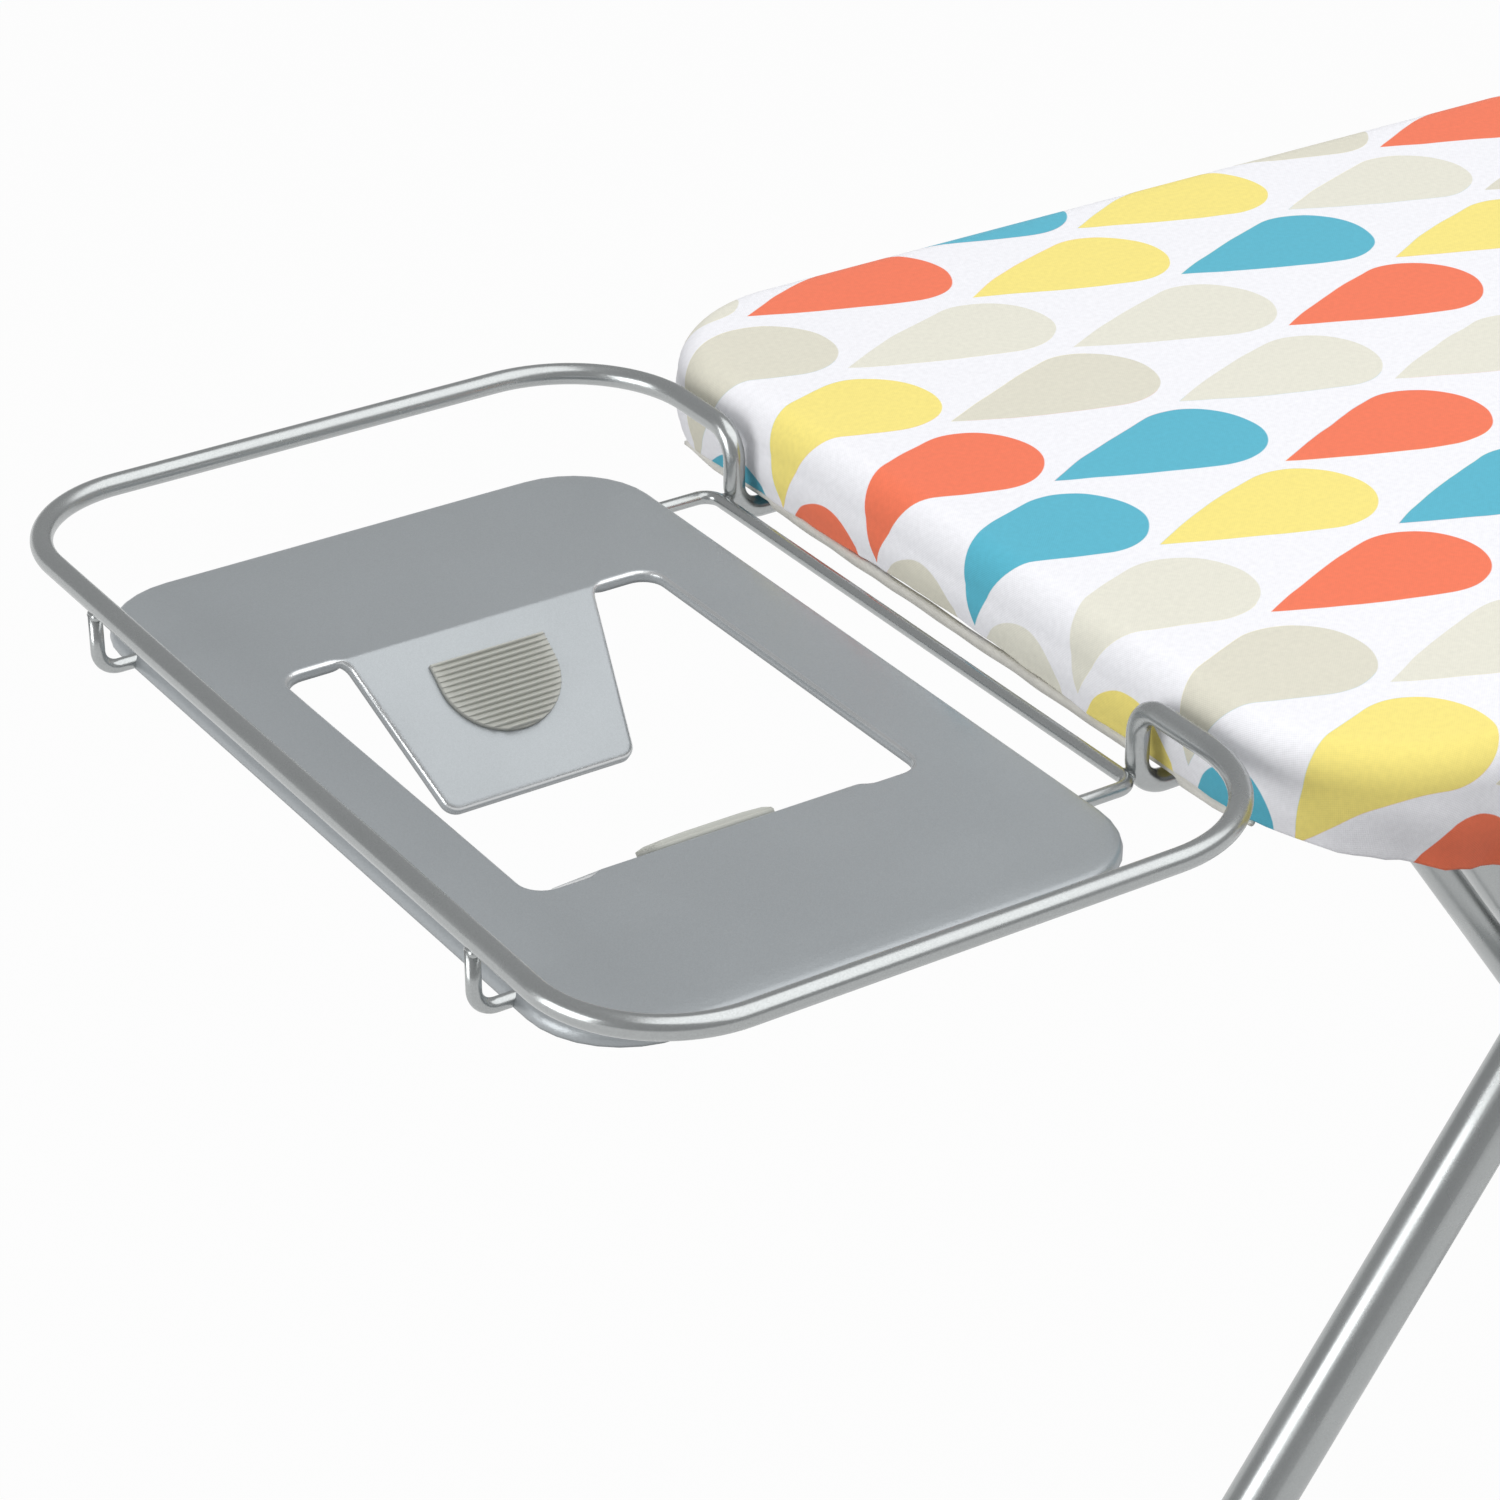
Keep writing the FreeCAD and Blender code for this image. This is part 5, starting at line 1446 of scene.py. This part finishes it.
@dataclass
class RestWires:
    """Thick rail round the rest and the thinner wire frame under its plate."""

    tail: float
    deck: float
    length: float = 0.2753
    width: float = 0.4356
    rail_radius: float = 0.00425
    rail_up: float = 0.0013
    stand_off: float = 0.0085
    drop_y: float = 0.1275
    drop: float = 0.034
    drop_bend: float = 0.012
    board_bend: float = 0.054
    outer_bend: float = 0.048
    plug: float = 0.085
    wire_radius: float = 0.00265
    stub_out: float = 0.0012
    stub_bend: float = 0.008
    wire_bend: float = 0.007
    wire_gap: float = 0.00005
    rail_sides: int = 32
    wire_sides: int = 24
    plate_depth: float = 0.0234
    sheet: float = 0.0012
    bead: tuple[float, float, float] = (0.0062, 0.0044, 0.0036)
    bead_sink: float = 0.0004
    drop_bead_back: float = 0.0002
    drop_bead: float = 1.15
    plate_bead: float = 1.3
    plate_bead_aside: float = 0.0017
    plate_bead_sink: float = 0.0009

    def build(self, palette: Palette, repeats: Repeats) -> None:
        """Make the rail, the wire frame and the welds between them."""
        rail = tube_mesh("rest_hoop", self._rail(), self.rail_radius, self.rail_sides)
        self._finish(new_piece("rest_hoop", rail, palette["rest_paint"]), "rest_rail")
        wire = tube_mesh("rest_wires", self._wire(), self.wire_radius, self.wire_sides)
        self._finish(new_piece("rest_wires", wire, palette["rest_paint"]), "rest_wire_frame")
        beads = repeats.make("rest_welds", self._welds(), capsule(*self.bead, 12), palette["rest_paint"],
                             spread=0.14, seed=11)
        self._finish(new_piece("rest_welds", beads, palette["rest_paint"]))

    @staticmethod
    def _finish(made: bpy.types.Object, node: Optional[str] = None) -> None:
        """Fix a piece to the board."""
        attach(made, "board")
        if node:
            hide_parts(node)

    @staticmethod
    def _mirrored(half: Sequence[Vector]) -> list[Vector]:
        """The far half of a line and its near half."""
        return list(half) + [Vector((p.x, -p.y, p.z)) for p in reversed(half)]

    def _rail(self) -> list[Vector]:
        """Centre line of the rail."""
        x0, z0 = self.tail, self.deck
        low, high = z0 + self.rail_up - self.drop, z0 + self.rail_up
        inner, outer, side = x0 - self.stand_off, x0 - self.length, 0.5 * self.width
        half = [Vector((x0 + self.plug, self.drop_y, low)), Vector((inner, self.drop_y, low)),
                Vector((inner, self.drop_y, high)), Vector((inner, side, high)), Vector((outer, side, high))]
        bends = [self.drop_bend, self.drop_bend, self.board_bend, self.outer_bend]
        return bent_line(self._mirrored(half), bends + bends[::-1], math.radians(4.0))

    def _wire_places(self) -> tuple[float, float, float, float]:
        """Outer x, inner x, y and height of the wire frame's centre line."""
        y = self.drop_y + self.rail_radius + self.wire_radius
        z = self.deck + self.rail_up - self.plate_depth - self.sheet - self.wire_radius
        low = self.deck + self.rail_up - self.drop
        reach = self.drop_bend + self.rail_radius + self.wire_radius + self.wire_gap
        fall = low + self.drop_bend - z
        inner = self.tail - self.stand_off + self.drop_bend - math.sqrt(reach ** 2 - fall ** 2)
        return self.tail - self.length - self.stub_out, inner, y, z

    def _wire(self) -> list[Vector]:
        """Centre line of the wire frame."""
        outer, inner, y, z = self._wire_places()
        up = self.deck + self.rail_up - self.rail_radius - self.wire_gap
        half = [Vector((outer, y, up)), Vector((outer, y, z)), Vector((inner, y, z))]
        bends = [self.stub_bend, self.wire_bend]
        return bent_line(self._mirrored(half), bends + bends[::-1], math.radians(6.0))

    def _welds(self) -> list[Spot]:
        """Welds under the rail, at its drops and under the plate."""
        outer, inner, y, z = self._wire_places()
        under = self.deck + self.rail_up - self.rail_radius
        ahead, across, up = Vector((1, 0, 0)), Vector((0, 1, 0)), Vector((0, 0, 1))
        made = []
        for side in (-1.0, 1.0):
            made.append(Spot(Vector((outer, side * y, under - self.bead_sink)), across, up))
            at_drop = Vector((inner + self.wire_radius - self.drop_bead_back, side * self.drop_y,
                              z - self.bead_sink))
            made.append(Spot(at_drop, across, ahead, self.drop_bead))
            for share in (0.12, 0.5, 0.88):
                x = outer + (inner - outer) * share
                for lean in (-1.0, 1.0):
                    place = Vector((x, side * y + lean * self.plate_bead_aside,
                                    z + self.wire_radius - self.plate_bead_sink))
                    made.append(Spot(place, ahead, up, self.plate_bead))
        return made


# ------------------------------------------------------------------ studio
@dataclass(frozen=True)
class Lamp:
    """A square soft lamp: where it is, the point it faces, its width and its power in watts."""

    name: str
    place: tuple[float, float, float]
    aim: tuple[float, float, float]
    size: float
    power: float

    def build(self) -> None:
        """Make the lamp."""
        data = bpy.data.lights.new(self.name, "AREA")
        data.shape = "SQUARE"
        data.size = self.size
        data.energy = self.power
        made = bpy.data.objects.new(self.name, data)
        place = Vector(self.place)
        made.location = place
        made.rotation_mode = "QUATERNION"
        made.rotation_quaternion = (Vector(self.aim) - place).to_track_quat("-Z", "Y")
        bpy.context.scene.collection.objects.link(made)


@dataclass
class Studio:
    """Pale floor, soft lamps and the camera."""

    eye: Vector = field(default_factory=lambda: Vector((-1.330225, -1.162, 1.659255)))
    gaze: Vector = field(default_factory=lambda: Vector((0.4761, 0.7276, -0.4939)))
    lens: float = 105.98
    sensor: float = 36.0
    floor_half: float = 30.0
    floor_colour: tuple[float, float, float, float] = (0.42, 0.42, 0.42, 1.0)
    floor_roughness: float = 0.9
    floor_specular: float = 0.1
    floor_glow: float = 0.97
    world_colour: tuple[float, float, float, float] = (0.985, 0.99, 1.0, 1.0)
    world_strength: float = 0.44
    near_clip: float = 0.05
    far_clip: float = 100.0
    lamps: tuple[Lamp, ...] = (
        Lamp("overhead_soft", place=(0.25, -0.78, 3.0), aim=(-0.55, -0.05, 0.9), size=3.3, power=55.5),
        Lamp("tail_soft", place=(-3.1, 0.3, 1.5), aim=(-0.4, 0.0, 0.9), size=1.6, power=33.0))

    def build(self) -> None:
        """Make the floor, world, lamps and camera."""
        self._floor()
        self._world()
        for lamp in self.lamps:
            lamp.build()
        self._camera()

    def _floor(self) -> None:
        """White floor that keeps a soft shadow."""
        half = self.floor_half
        mesh = bpy.data.meshes.new("studio_floor")
        mesh.from_pydata([(-half, -half, 0), (half, -half, 0), (half, half, 0), (-half, half, 0)], [],
                         [(0, 1, 2, 3)])
        material, w, plain = new_material("studio_floor")
        w.settle(plain, {"Base Color": self.floor_colour, "Roughness": self.floor_roughness,
                         "Specular IOR Level": self.floor_specular})
        glow = w.settle(w.add("ShaderNodeEmission"), {"Strength": 1.0})
        rays = w.add("ShaderNodeLightPath").outputs
        seen = w.math("MAXIMUM", rays["Is Camera Ray"], rays["Is Glossy Ray"])
        seen = w.math("MAXIMUM", seen, rays["Is Transmission Ray"])
        blend = w.add("ShaderNodeMixShader")
        w.feed(blend.inputs[0], w.math("MULTIPLY", seen, self.floor_glow))
        w.feed(blend.inputs[1], plain.outputs[0])
        w.feed(blend.inputs[2], glow.outputs[0])
        out = next(n for n in material.node_tree.nodes if n.type == "OUTPUT_MATERIAL")
        w.feed(out.inputs["Surface"], blend.outputs[0])
        floor = new_piece("studio_floor", mesh, material)

    def _world(self) -> None:
        """Even pale surroundings."""
        world = bpy.data.worlds.new("studio")
        bpy.context.scene.world = world
        world.use_nodes = True
        ground = world.node_tree.nodes["Background"]
        Wiring(world.node_tree).settle(ground, {"Color": self.world_colour, "Strength": self.world_strength})

    def _camera(self) -> None:
        """Long lens, looking down along the rest."""
        data = bpy.data.cameras.new("camera")
        data.lens = self.lens
        data.sensor_width = self.sensor
        data.clip_start = self.near_clip
        data.clip_end = self.far_clip
        camera = bpy.data.objects.new("camera", data)
        camera.location = self.eye
        camera.rotation_mode = "QUATERNION"
        camera.rotation_quaternion = self.gaze.to_track_quat("-Z", "Y")
        bpy.context.scene.collection.objects.link(camera)
        bpy.context.scene.camera = camera


# ------------------------------------------------------------------ the whole object
def report(label: str, before: set[str]) -> set[str]:
    """Log the pieces that a step added."""
    after = {thing.name for thing in bpy.context.scene.objects}
    for name in sorted(after - before):
        LOG.info("%s: %s", label, name)
    return after


def main() -> None:
    """Build every sub-assembly in order."""
    logging.basicConfig(level=logging.INFO, format="%(name)s %(message)s")
    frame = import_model()
    palette = Palette()
    palette.dress_frame(frame)
    repeats = Repeats()
    names = {thing.name for thing in bpy.context.scene.objects}

    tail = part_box("cotton_cover")[0].x
    deck_low, deck_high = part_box("deck_sheet")[0].z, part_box("deck_sheet")[1].z
    shape = BoardShape(tail=tail)
    cover = Cover(shape, top=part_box("cotton_cover")[1].z)
    pad_low, pad_high = (corner.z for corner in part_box("underlay_pad"))
    underlay = Underlay(shape, pad_low, pad_high, cover.edge_in, cover.edge_down)
    steps: list[tuple[str, Callable[[], object]]] = [
        ("cover", lambda: cover.build(palette, repeats)),
        ("underlay", lambda: underlay.build(palette, cover.top - cover.tail_drop)),
        ("deck", lambda: Deck(shape, deck_low, deck_high).build(palette, repeats)),
        ("rest plate", lambda: RestPlate(tail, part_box("rest_plate")[1].z).build(palette, repeats)),
        ("rest wires", lambda: RestWires(tail, deck_low).build(palette, repeats)),
        ("studio", Studio().build),
    ]
    for label, step in steps:
        step()
        names = report(label, names)

    view = bpy.context.scene.view_settings
    view.view_transform = "Standard"


if __name__ == "__main__":
    main()
